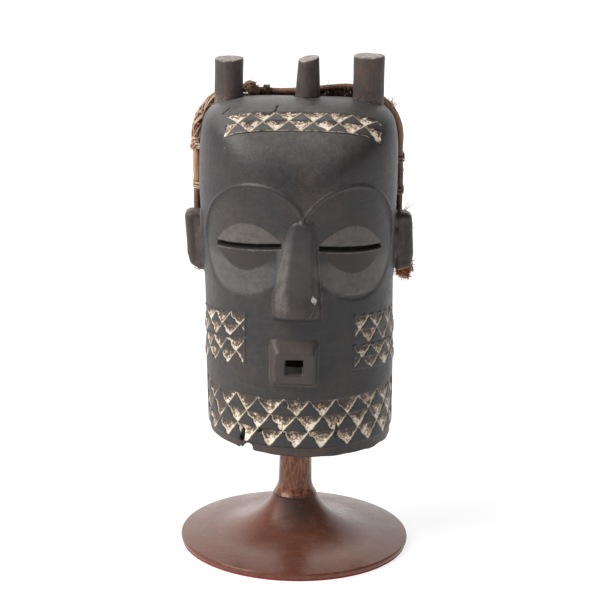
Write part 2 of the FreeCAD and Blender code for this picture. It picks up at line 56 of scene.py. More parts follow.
# ---- the shell's shape, in millimetres (the same barrel as the CAD) -----------------------------
RIM, SPRING, RISE = 110.0, 345.0, 82.5
HALF_V, HALF_WIDTHS = (105, 130, 245, 334, 345), (86.0, 86.5, 87.4, 90.3, 91.0)
LEAN = (4.1, -2.2)  # how far right the barrel's middle stands at the rim and at the spring
OFFSET, REACH, REAR, FALL, BACK = 12.0, 86.0, 75.0, 79.7, 50.0
SQUARE = 5.5
VOXEL = 1.25
ARC = 86.0  # radius that turns the angle round the face into millimetres
CROWN_ARC = 84.0  # the same for the angle up over the crown

# Each eye: middle, lean of the oval, and the slit's height at its middle and slope outward.
EYES = {
    -1: {"middle": -50.0, "lean": 0.20, "slit": 308.3, "slope": 0.115, "lid": -51.0},
    1: {"middle": 54.0, "lean": -0.10, "slit": 306.8, "slope": -0.105, "lid": 52.5},
}
EYE_HEIGHT, EYE_HALF = 310.0, 53.0
LID_HALF, LID_TALL = 37.0, 22.0
NOSE_V = (244, 253, 265, 277, 290, 309, 320, 332, 340)
NOSE_HALF = (21.6, 23.6, 22.2, 19.6, 17.7, 15.0, 14.0, 11.0, 5.0)
NOSE_SIDE = (-0.4, -0.6, -1.6, -0.3, 0.4, 1.75, 2.2, 2.8, 3.0)
MOUTH = (-2.9, 200.7, 21.5)  # middle across, height and half side of the block's foot
MOUTH_FACE = (-2.0, 198.9, 17.8, 14.9)  # the same of its front face, with the half height
MOUTH_HOLE = (-2.8, 199.9, 8.2, 6.9)
# Triangle fields: top, row height, rows, period, where a point of the top row lies.
CHIN = {"top": 165.0, "tall": 15.2, "rows": 3, "period": 24.6, "phase": -0.4}
CHEEKS = {
    -1: ({"top": 244.0, "tall": 10.9, "rows": 2, "period": 22.0, "phase": -57.5},
         {"top": 219.6, "tall": 12.0, "rows": 2, "period": 22.0, "phase": -61.0}),
    1: ({"top": 243.0, "tall": 13.0, "rows": 2, "period": 22.0, "phase": 60.0},
        {"top": 214.4, "tall": 11.3, "rows": 2, "period": 22.0, "phase": 63.5}),
}
CHEEK_FALL = {-1: 0.16, 1: 0.11}  # the panels run downhill toward the ears
CHEEK_INNER = {-1: 49.5, 1: 52.5}
BROW = {"top": 446.0, "tall": 12.0, "rows": 2, "period": 22.9, "phase": -12.0}
BROW_HALF, BROW_SAG = 70.0, 0.00073
# Two black scratches above the forehead band, each from (across, height) to (across, height).
SCRATCHES = ((-71.5, 452.0, -66.0, 459.0), (-24.5, 446.5, -22.0, 457.5))
BAND_REACH = 128.0  # how far round the sides the bands of triangles go
WALL = (13.5, 15.0, 20.0)  # the wood's thickness at the sides, the face and the crown
BETWEEN = (80.5, 72.5, 66.5)  # half width, depth and rise of an oval inside the wood
LASHING_Y, LASHING_HOLE = 39.0, 3.1  # where the lashing holes are in depth, and their radius
MOUTH_FRONT, MOUTH_BLOCK = -83.0, 10.5  # the tube's front, and how far it stands out
RIM_BAND = 118.7  # height of the groove above the bottom edge


def clip01(value):
    return np.clip(value, 0.0, 1.0)


def bell(value, width):
    """1 where value is 0, fading smoothly over about a width."""
    return np.exp(-((value / width) ** 2))


def barrel_field(x, y, z, side=0.0, face=0.0, crown=0.0):
    """About the signed distance to the barrel drawn in by three walls: negative inside."""
    x = x - np.interp(z, (RIM, SPRING), LEAN)
    across = np.abs(x) / (np.interp(z, HALF_V, HALF_WIDTHS) - side)
    up = np.maximum(z - SPRING, 0.0) / (RISE - crown)
    back = y - OFFSET
    front = np.minimum(back, 0.0)
    arch = (across**SQUARE + up**SQUARE) ** (1 / SQUARE)
    ahead = np.sqrt(arch**2 + (front / (REACH - face)) ** 2)
    behind_at = np.clip(back, 0.0, 70.0)
    plan = (1 - (behind_at / REAR) ** 4) ** 0.25
    fall = np.sqrt(1 - (behind_at / FALL) ** 2)
    behind = ((across / plan) ** SQUARE + (up / fall) ** SQUARE) ** (1 / SQUARE)
    gauge = np.maximum(np.where(back < 0, ahead, behind), 0.02)
    reach = np.sqrt(x**2 + front**2 + np.maximum(z - SPRING, 0.0) ** 2)
    return reach * (1 - 1 / gauge)


def smooth_max(a, b, width):
    """The larger of two, rounded where they meet."""
    blend = clip01(0.5 + 0.5 * (a - b) / width)
    return b + (a - b) * blend + width * blend * (1 - blend)


def waves(x, y, z, seed, scale, count=7):
    """Smooth noise of about unit height: a few sine waves in random directions."""
    rng = np.random.default_rng(seed)
    total = 0.0
    for _ in range(count):
        direction = rng.normal(size=3)
        direction /= np.linalg.norm(direction) * scale * rng.uniform(0.6, 1.5)
        turn = rng.uniform(0, 2 * math.pi)
        total = total + np.sin(direction[0] * x + direction[1] * y + direction[2] * z + turn)
    return total / math.sqrt(count)


def triangles(u, v, field):
    """How far inside a down-pointing triangle a point lies, in millimetres, and its share of the
    row's height above the points."""
    down = (field["top"] - v) / field["tall"]
    row = np.floor(down)
    inside = (down > 0) & (down < field["rows"])
    shift = field["phase"] + np.mod(row, 2) * field["period"] / 2
    along = np.mod((u - shift) / field["period"] + 0.5, 1.0) - 0.5
    high = 1 - (down - row)
    depth = (0.5 * high - np.abs(along)) * field["period"]
    return np.where(inside, np.minimum(depth, (1 - high) * field["tall"]), -5.0), high


def chips(u, v, field, deep):
    """Knife cuts: deepest along the top of each triangle and rising to its point, with fine
    grooves along the slanted sides."""
    depth, high = triangles(u, v, field)
    groove = bell(depth, 0.7) * (depth > -2)
    return deep * clip01(depth / 0.9) * (0.25 + 0.75 * high) + 0.6 * groove


def eye_relief(u, v, side, deep):
    """The dish with its closed lid, the ridge round it, and the slit, which climbs inward."""
    eye = EYES[side]
    du = (u - eye["middle"] - eye["lean"] * (v - EYE_HEIGHT)) / EYE_HALF
    dv = (v - EYE_HEIGHT) / EYE_HALF
    ring = np.sqrt(du**2 + dv**2)
    edge = (1 - ring) * EYE_HALF
    step = np.maximum(3.0 + 2.8 * dv, 0.5)
    bowl = np.interp(dv, (-1.0, 0.2), (1.4, 0.75))
    dish = -step * clip01(edge / 0.9) - 6.8 * clip01(1 - ring**2) ** bowl
    ridge = 2.2 * bell(ring - 1.035, 0.03) * clip01(dv * 2.5 + 0.9)
    across = u - eye["lid"]
    rise = v - eye["slit"] - eye["slope"] * across
    taper = clip01(1 - (across / LID_HALF) ** 2)
    over = clip01(1 - (rise / np.maximum(LID_TALL * taper, 0.5)) ** 2)
    lid = 9.5 * taper**0.55 * over**0.55 + np.where(rise > 0, 1.0, -0.5) * taper * clip01(over * 4)
    slit_rise = np.abs(rise - 0.3 * deep) - 1.8 * taper**0.3
    return dish + lid, ridge, slit_rise, np.abs(across) - LID_HALF + 2.5


def nose_relief(u, v):
    """A ridge with a flat back that widens to a round tip, with a knife facet on each wing."""
    half = np.interp(v, NOSE_V, NOSE_HALF)
    off = u - np.interp(v, NOSE_V, NOSE_SIDE)
    share = np.abs(off) / half
    out = 0.8 + 18.5 * clip01((338 - v) / 88) ** 0.95
    fall = clip01((1 - share) / 0.5)
    body = out * (1 - (1 - fall) ** 1.8)
    body = body + 2.6 * bell(v - 254, 13) * np.exp(-((np.abs(u + 1.9) / 9.5) ** 4))
    body = body - 12.0 * clip01((v - 334) / 8)
    body = body - 14.0 * clip01((share - 0.97) / 0.12)
    left = np.minimum(-9.7 - u, 262.5 - v - 0.45 * np.maximum(u + 16, 0))
    right = np.minimum(u - 6 - 0.38 * (v - 245), 264 - v)
    wing = 5.2 * clip01(1 - share**6) * clip01((268 - v) / 5)
    body = np.maximum(body, wing + 5.0 * clip01((268 - v) / 9) * clip01(1 - share**8))
    body = body - 2.4 * clip01(left / 0.9) - 3.6 * clip01(right / 0.9)
    return np.minimum(body, (v - 244.0) * 3.5)


def crown_height(y, z):
    """Height measured up the face and on over the crown."""
    over = SPRING + CROWN_ARC * np.arctan2(z - SPRING, np.maximum(OFFSET - y, 1e-3))
    return np.where(z > SPRING, over, z)


def relief(x, y, z, deep):
    """How far the carving stands out of the barrel at each point; deep is the depth below it."""
    u = ARC * np.arctan2(x, OFFSET - y)
    v = np.where(z > SPRING,
                 SPRING + CROWN_ARC * np.arctan2(z - SPRING, np.hypot(x, y - OFFSET)), z)
    total = 0.35 * waves(x, y, z, 3, 22.0) + 0.16 * waves(x, y, z, 4, 7.0)
    slits = np.full_like(total, 9.0)
    for side in (-1, 1):
        eye, ridge, slit_rise, slit_side = eye_relief(u, v, side, deep)
        total = total + np.minimum(eye, 0) + ridge
        slits = np.minimum(slits, np.maximum(slit_rise, slit_side))
    total = smooth_max(total, nose_relief(u, v), 1.6)
    total = total - 1.7 * clip01((RIM_BAND + 0.1 - z) / 0.9)
    total = total - chips(u, z, CHIN, 2.1) * (np.abs(u) < BAND_REACH)
    for side in (-1, 1):
        past = side * u - CHEEK_INNER[side]
        inner = clip01(past / 0.8) * (side * u < BAND_REACH)
        field_part = clip01((past - 2.2) / 0.6)
        sloped = z + CHEEK_FALL[side] * past
        for field in CHEEKS[side]:
            low = field["top"] - field["tall"] * field["rows"]
            panel = clip01((field["top"] + 0.8 - sloped) / 0.8) * clip01((sloped - low + 0.8) / 0.8)
            total = total + inner * panel * (1.2 - field_part * chips(u, sloped, field, 1.9))
            edge = np.minimum(np.abs(sloped - field["top"] - 1.0), np.abs(sloped - low + 1.0))
            total = total - 0.5 * inner * bell(edge, 0.7)
    high = crown_height(y, z) + BROW_SAG * x**2
    on_brow = (np.abs(x - 1.5) < BROW_HALF) * (z > SPRING) * (y < 0)
    line = bell(high - BROW["top"] + 2 * BROW["tall"] + 0.6, 0.8)
    total = total - on_brow * (chips(x, high, BROW, 1.5) + 1.1 * line)
    for scratch in SCRATCHES:
        total = total - 1.6 * bell(segment_gap(x, high, *scratch), 0.55) * (z > SPRING)
    return total, slits


def segment_gap(x, v, x0, v0, x1, v1):
    """Distance from a point to a short straight scratch."""
    along = clip01(((x - x0) * (x1 - x0) + (v - v0) * (v1 - v0)) / ((x1 - x0)**2 + (v1 - v0)**2))
    return np.hypot(x - x0 - along * (x1 - x0), v - v0 - along * (v1 - v0))


def round_box(x, y, z, half, corner):
    """Signed distance to a block with rounded edges."""
    q = [np.abs(p) - h + corner for p, h in zip((x, y, z), half)]
    outside = np.sqrt(sum(np.maximum(p, 0) ** 2 for p in q))
    return outside + np.minimum(np.maximum(np.maximum(q[0], q[1]), q[2]), 0) - corner


def ear_field(x, y, z, side):
    """A thick slab, with a leaf in low relief where it meets the head."""
    ex = side * x - 96.0 - (0.07 if side < 0 else -0.02) * (z - 291)
    ez = z - (290.5 if side < 0 else 292.5)
    slab = round_box(ex, y - 20, ez, (9.0, 10.0, 27.8), 6.5)
    slab = slab + 0.85 * waves(x, y, z, 14, 10.0)
    slab = slab + 0.12 * np.maximum(side * ez - 14, 0) * clip01((ex + 2) / 8)
    leaf = np.hypot((ex + 7.5) / 7.0, (ez - 1) / 17.0) + 0.25 * np.abs(ez - 1) / 17.0
    scoop = 2.4 * bell(ex - 1.0, 5.0) * clip01((24 - np.abs(ez)) / 6)
    front = clip01((16 - y) / 3)
    slab = slab + front * (scoop - 3.4 * clip01((1.05 - leaf) / 0.45))
    return slab + 0.16 * np.maximum(-ez - 12, 0) * clip01((ex + 4) / 8)


def mask_field(x, y, z):
    """The whole carving: negative inside the wood."""
    plain = barrel_field(x, y, z)
    carved, slits = relief(x, y, z, np.maximum(-plain, 0.0))
    body = plain - carved
    for side in (-1, 1):
        body = -smooth_max(-body, -ear_field(x, y, z, side), 1.5)
    taper = clip01((MOUTH_FRONT + MOUTH_BLOCK - y) / MOUTH_BLOCK)
    mouth_x, mouth_z, wide, tall = (foot + (front - foot) * taper for foot, front
                                    in zip((*MOUTH, MOUTH[2]), MOUTH_FACE))
    block = round_box(x - mouth_x, y * 0, z - mouth_z, (wide, 50, tall), 4.0)
    block = block * 0.8 + 0.75 * waves(x, y, z, 17, 6.5)
    face = MOUTH_FRONT - y + 0.45 * waves(x, y, z, 18, 7.0)
    block = smooth_max(smooth_max(block, face, 1.2), y + 60, 1.0)
    body = -smooth_max(-body, -block, 1.0)
    inner = barrel_field(x, y, z, *WALL) + 0.6 * waves(x, y, z, 8, 9.0)
    hole_x, hole_z = np.abs(x - MOUTH_HOLE[0]), np.abs(z - MOUTH_HOLE[1])
    hole = np.maximum(hole_x - MOUTH_HOLE[2], hole_z - MOUTH_HOLE[3])
    cuts = [-inner, -np.maximum(slits, y + 10), -np.maximum(hole, y + 20)]
    # The missing piece at the rim, the crack above it, a hole and a short split, each with the
    # depth where it ends.
    chip = waves(x, y, z, 21, 3.0) * 1.6
    notch = np.sqrt((x + 45.0) ** 2 + ((z - 108) * 0.55) ** 2)
    crack = np.maximum(np.abs(x + 49.5 - 0.15 * (z - 118)) - 0.9, np.abs(z - 120) - 11)
    split = np.maximum(np.abs(x - 36.8), np.abs(z - 135) - 5)
    for damage, end in ((5.6 + chip - notch, -20), (0.4 * chip - crack, -48),
                        (2.1 - np.hypot(x + 32.8, z - 132.0), -60), (0.9 - split, -61)):
        cuts.append(damage - (y > end) * 90)
    for name in ("left_peg", "middle_peg", "right_peg"):
        low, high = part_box(name)
        middle, radius = middle_of(name), (high.x - low.x) * 500
        hole = radius + 0.35 - np.hypot(x - middle.x, y - middle.y)
        cuts.append(np.minimum(hole, z - low.z * 1000))
    for node, axis in (("left_lashings", -1), ("right_lashings", 1)):
        for height in lashing_middles(node, 2):
            hole = LASHING_HOLE - np.hypot(y - LASHING_Y, z - height)
            cuts.append(np.minimum(hole, axis * x - 60))
    for middle in lashing_middles("crown_lashings", 0):
        hole = LASHING_HOLE - np.hypot(x - middle, y - LASHING_Y)
        cuts.append(np.minimum(hole, z - 392))
    rough = 0.5 * waves(x, y, z, 31, 4.5)
    cuts.append(y - BACK + 0.3 * rough)
    cuts.append(RIM - 0.5 - 0.02 * x - z + rough)
    for tool in cuts:
        body = smooth_max(body, tool, 1.1)
    return body


def middle_of(node):
    """The middle of a CAD node's box, in millimetres."""
    low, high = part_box(node)
    return (low + high) * 500


def lashing_middles(node, axis):
    """Where a lashing's groups of turns are, in millimetres along an axis."""
    places = sorted({round(v.co[axis] * 1000) for v in frame["nodes"][node].data.vertices})
    groups = [[places[0]]]
    for place in places[1:]:
        if place - groups[-1][-1] > 6:
            groups.append([])
        groups[-1].append(place)
    return [(group[0] + group[-1]) / 2 for group in groups]


# ---- meshes -------------------------------------------------------------------------------------
def mesh_object(name, points, faces):
    """A smooth-shaded object from points in millimetres."""
    data = bpy.data.meshes.new(name)
    data.from_pydata((np.asarray(points) * MM).tolist(), [], [list(f) for f in faces])
    data.validate()
    data.polygons.foreach_set("use_smooth", [True] * len(data.polygons))
    thing = bpy.data.objects.new(name, data)
    bpy.context.scene.collection.objects.link(thing)
    return thing


def field_mesh(name, function, low, high):
    """The zero surface of a function, by dual contouring on a grid."""
    axes = [np.arange(a, b, VOXEL, dtype=np.float32) for a, b in zip(low, high)]
    x, y, z = np.meshgrid(*axes, indexing="ij", sparse=True)
    values = np.broadcast_to(function(x, y, z), [len(a) for a in axes]).astype(np.float32)
    slope = np.gradient(values, VOXEL)
    steep = np.sqrt(sum(s * s for s in slope))
    values = values / np.maximum(steep, 0.7)
    grid = openvdb.FloatGrid(background=5.0)
    grid.copyFromArray(np.ascontiguousarray(np.clip(values, -5, 5)))
    points, triangles_found, quads = grid.convertToPolygons(isovalue=0.0, adaptivity=0.0)
    points = points * VOXEL + np.array(low)
    faces = [f[::-1] for f in triangles_found.tolist()] + [f[::-1] for f in quads.tolist()]
    return mesh_object(name, *largest_part(points, faces))


def largest_part(points, faces):
    """Drops every crumb that isn't joined to the biggest part."""
    parent = list(range(len(points)))

    def root(i):
        while parent[i] != i:
            parent[i] = parent[parent[i]]
            i = parent[i]
        return i

    for face in faces:
        first = root(face[0])
        for i in face[1:]:
            parent[root(i)] = first
    owner = [root(i) for i in range(len(points))]
    biggest = Counter(owner).most_common(1)[0][0]
    kept = [i for i, part in enumerate(owner) if part == biggest]
    place = {old: new for new, old in enumerate(kept)}
    return points[kept], [[place[i] for i in f] for f in faces if owner[f[0]] == biggest]


def ring_faces(rings, sides, closed=False):
    """The four-sided faces between each ring of points and the next."""
    faces = []
    for i in range(rings if closed else rings - 1):
        a, b = i * sides, ((i + 1) % rings) * sides
        for k in range(sides):
            n = (k + 1) % sides
            faces.append((a + k, a + n, b + n, b + k))
    return faces


def tube(points, radii, sides=8, closed=False):
    """A round bar along points, as (points, faces); radii is a number or one per point."""
    points = [Vector(p) for p in points]
    count = len(points)
    radii = [radii] * count if isinstance(radii, (int, float)) else radii
    rings = []
    normal = None
    for i, point in enumerate(points):
        before = points[i - 1] if i or closed else point
        after = points[(i + 1) % count] if i < count - 1 or closed else point
        along = (after - before).normalized()
        if normal is None:
            normal = along.orthogonal().normalized()
        normal = (normal - along * normal.dot(along)).normalized()
        other = along.cross(normal)
        for k in range(sides):
            turn = 2 * math.pi * k / sides
            rings.append(point + (normal * math.cos(turn) + other * math.sin(turn)) * radii[i])
    faces = ring_faces(count, sides, closed)
    if not closed:
        faces.append(tuple(range(sides - 1, -1, -1)))
        faces.append(tuple(range((count - 1) * sides, count * sides)))
    return rings, faces


def joined(name, parts):
    """One object from several (points, faces) pairs."""
    points, faces = [], []
    for more_points, more_faces in parts:
        start = len(points)
        points.extend([tuple(p) for p in more_points])
        faces.extend([tuple(i + start for i in f) for f in more_faces])
    return mesh_object(name, points, faces)


def arch_line(y, low, top, bend, left, right, step=3.0):
    """Points up the left leg, round the shoulders and down the right leg.  Each leg is how far out
    it stands at its foot and at its top."""
    def leg(side, foot, head):
        count = int((top - bend - low) / step)
        line = []
        for i in range(count):
            share = i / count
            line.append(Vector((side * (foot + (head - foot) * share), y,
                                low + (top - bend - low) * share)))
        for i in range(13):
            turn = math.pi / 2 * i / 12
            line.append(Vector((side * (head - bend + bend * math.cos(turn)), y,
                                top - bend + bend * math.sin(turn))))
        return line

    first, last = leg(-1, *left), leg(1, *right)
    start, end = first[-1], last[-1]
    count = int((end - start).length / step)
    across = [start.lerp(end, i / count) for i in range(1, count)]
    return [*first, *across, *reversed(last)]


def scatter(rng):
    """A random offset, up to 1 along each axis."""
    return Vector([rng.uniform(-1, 1) for _ in range(3)])


def wobbled(points, size, seed, stretch=0.045):
    """The same line with slow random bends."""
    rng = random.Random(seed)
    turns = [rng.uniform(0, 6.3) for _ in range(6)]
    moved = []
    for i, p in enumerate(points):
        d = i * stretch * 3
        moved.append(p + Vector((math.sin(d + turns[0]) + 0.4 * math.sin(2.7 * d + turns[3]),
                                 math.sin(1.3 * d + turns[1]) + 0.4 * math.sin(3.1 * d + turns[4]),
                                 math.sin(0.8 * d + turns[2]) + 0.4 * math.sin(2.3 * d + turns[5])))
                     * size)
    return moved


def hair(start, direction, length, bend, rng, radius=0.3, steps=6):
    """One loose fibre as a thin tapering bar."""
    direction = Vector(direction).normalized()
    points = [Vector(start)]
    sway = scatter(rng) * bend
    for i in range(steps):
        direction = (direction + sway / steps).normalized()
        points.append(points[-1] + direction * (length / steps))
    radii = [radius * (1 - 0.6 * i / steps) for i in range(steps + 1)]
    return tube(points, radii, 4)


# ---- shader helpers -----------------------------------------------------------------------------
class Value:
    """A socket that can be used in ordinary arithmetic; each step adds a math node."""

    def __init__(self, tree, socket):
        self.tree, self.socket = tree, socket

    def node(self, operation, *others):
        made = self.tree.nodes.new("ShaderNodeMath")
        made.operation = operation
        for slot, other in zip(made.inputs, (self, *others)):
            if isinstance(other, Value):
                self.tree.links.new(other.socket, slot)
            else:
                slot.default_value = other
        return Value(self.tree, made.outputs[0])

    def __rsub__(self, other):
        return self * -1.0 + other

    def square(self):
        return self * self

    def mod2(self):
        return self.node("MODULO", 2.0).node("ABSOLUTE")

    def ramp(self, low, high, a=0.0, b=1.0):
        """Goes from a at low to b at high, held beyond them."""
        made = self.tree.nodes.new("ShaderNodeMapRange")
        made.interpolation_type = "SMOOTHSTEP"
        self.tree.links.new(self.socket, made.inputs[0])
        for slot, number in zip(made.inputs[1:5], (low, high, a, b)):
            slot.default_value = number
        return Value(self.tree, made.outputs[0])


def math_method(operation):
    return lambda self, *others: self.node(operation, *others)


for method, math_name in (
        ("__add__", "ADD"), ("__radd__", "ADD"), ("__sub__", "SUBTRACT"), ("__mul__", "MULTIPLY"),
        ("__rmul__", "MULTIPLY"), ("__truediv__", "DIVIDE"), ("__gt__", "GREATER_THAN"),
        ("__lt__", "LESS_THAN"), ("abs", "ABSOLUTE"), ("floor", "FLOOR"), ("fract", "FRACT"),
        ("root", "SQRT"), ("min", "MINIMUM"), ("max", "MAXIMUM"), ("arctan2", "ARCTAN2")):
    setattr(Value, method, math_method(math_name))


class Paint:
    """Builds one material: coordinates in millimetres, noises, and layers of colour."""

    def __init__(self, name, roughness=0.6, specular=0.4):
        self.material = bpy.data.materials.new(name)
        self.material.use_nodes = True
        self.tree = self.material.node_tree
        self.link = self.tree.links.new
        self.shader = self.tree.nodes["Principled BSDF"]
        self.shader.inputs["Roughness"].default_value = roughness
        self.shader.inputs["Specular IOR Level"].default_value = specular
        scale = self.add("VectorMath", {"Scale": 1000.0}, operation="SCALE")
        self.link(self.add("TexCoord").outputs["Object"], scale.inputs[0])
        self.place = scale.outputs[0]
        self.x, self.y, self.z = self.parts(self.place)
        self.color = None
        self.height = None

    def add(self, kind, inputs=(), **settings):
        """A new node with some inputs' values and its other settings."""
        made = self.tree.nodes.new(f"ShaderNode{kind}")
        for name, setting in settings.items():
            setattr(made, name, setting)
        for name in inputs:
            made.inputs[name].default_value = inputs[name]
        return made

    def parts(self, socket):
        """The three numbers in a vector."""
        apart = self.add("SeparateXYZ")
        self.link(socket, apart.inputs[0])
        return [Value(self.tree, s) for s in apart.outputs]

    def geometry(self, name):
        return Value(self.tree, self.add("NewGeometry").outputs[name])

    def normal_z(self):
        return self.parts(self.add("NewGeometry").outputs["Normal"])[2]

    def stretched(self, stretch):
        if stretch == (1, 1, 1):
            return self.place
        made = self.add("VectorMath", {1: stretch}, operation="MULTIPLY")
        self.link(self.place, made.inputs[0])
        return made.outputs[0]

    def noise(self, size, detail=3.0, rough=0.55, stretch=(1, 1, 1), seed=0.0):
        """Noise whose features are about size millimetres wide, from 0 to 1."""
        numbers = {"W": seed, "Scale": 1.0 / size, "Detail": detail, "Roughness": rough}
        made = self.add("TexNoise", numbers, noise_dimensions="4D")
        self.link(self.stretched(stretch), made.inputs["Vector"])
        return Value(self.tree, made.outputs["Fac"])

    def dots(self, spacing, radius, stretch=(1, 1, 1)):
        """Small spots scattered about spacing apart: 1 inside a spot."""
        made = self.add("TexVoronoi", {"Scale": 1.0 / spacing})
        self.link(self.stretched(stretch), made.inputs["Vector"])
        distance = Value(self.tree, made.outputs["Distance"])
        return distance.ramp(radius / spacing, radius / spacing * 0.6, 0.0, 1.0)

    def layer(self, color, amount=None):
        """Paints a colour over what is there, by an amount from 0 to 1."""
        if self.color is None:
            self.color = self.add("RGB").outputs[0]
            self.color.default_value = (*color, 1)
            return
        made = self.add("Mix", data_type="RGBA")
        first, second = (next(i for i in made.inputs if i.name == name and i.type == "RGBA")
                         for name in "AB")
        second.default_value = (*color, 1)
        self.link(self.color, first)
        self.link(amount.socket, made.inputs[0])
        self.color = next(i for i in made.outputs if i.type == "RGBA")

    def raise_by(self, *values):
        """Adds to the height that the bump is made from."""
        for value in values:
            self.height = value if self.height is None else self.height + value

    def finish(self, roughness=None, bump=0.001):
        self.link(self.color, self.shader.inputs["Base Color"])
        if roughness is not None:
            self.link(roughness.socket, self.shader.inputs["Roughness"])
        if self.height is not None:
            made = self.add("Bump", {"Distance": bump, "Strength": 1.0})
            self.link(self.height.socket, made.inputs["Height"])
            self.link(made.outputs[0], self.shader.inputs["Normal"])
        return self.material


def painted_triangles(u, v, field):
    """The shader's copy of triangles(): depth inside a triangle in millimetres, and its rows."""
    down = (field["top"] - v) * (1 / field["tall"])
    row = down.floor()
    inside = (down > 0.0) * (down < float(field["rows"]))
    shift = row.mod2() * (field["period"] / 2) + field["phase"]
    along = (((u - shift) * (1 / field["period"]) + 0.5).fract() - 0.5).abs()
    part = down - row
    depth = ((1.0 - part) * 0.5 - along) * field["period"]
    return depth, part, inside


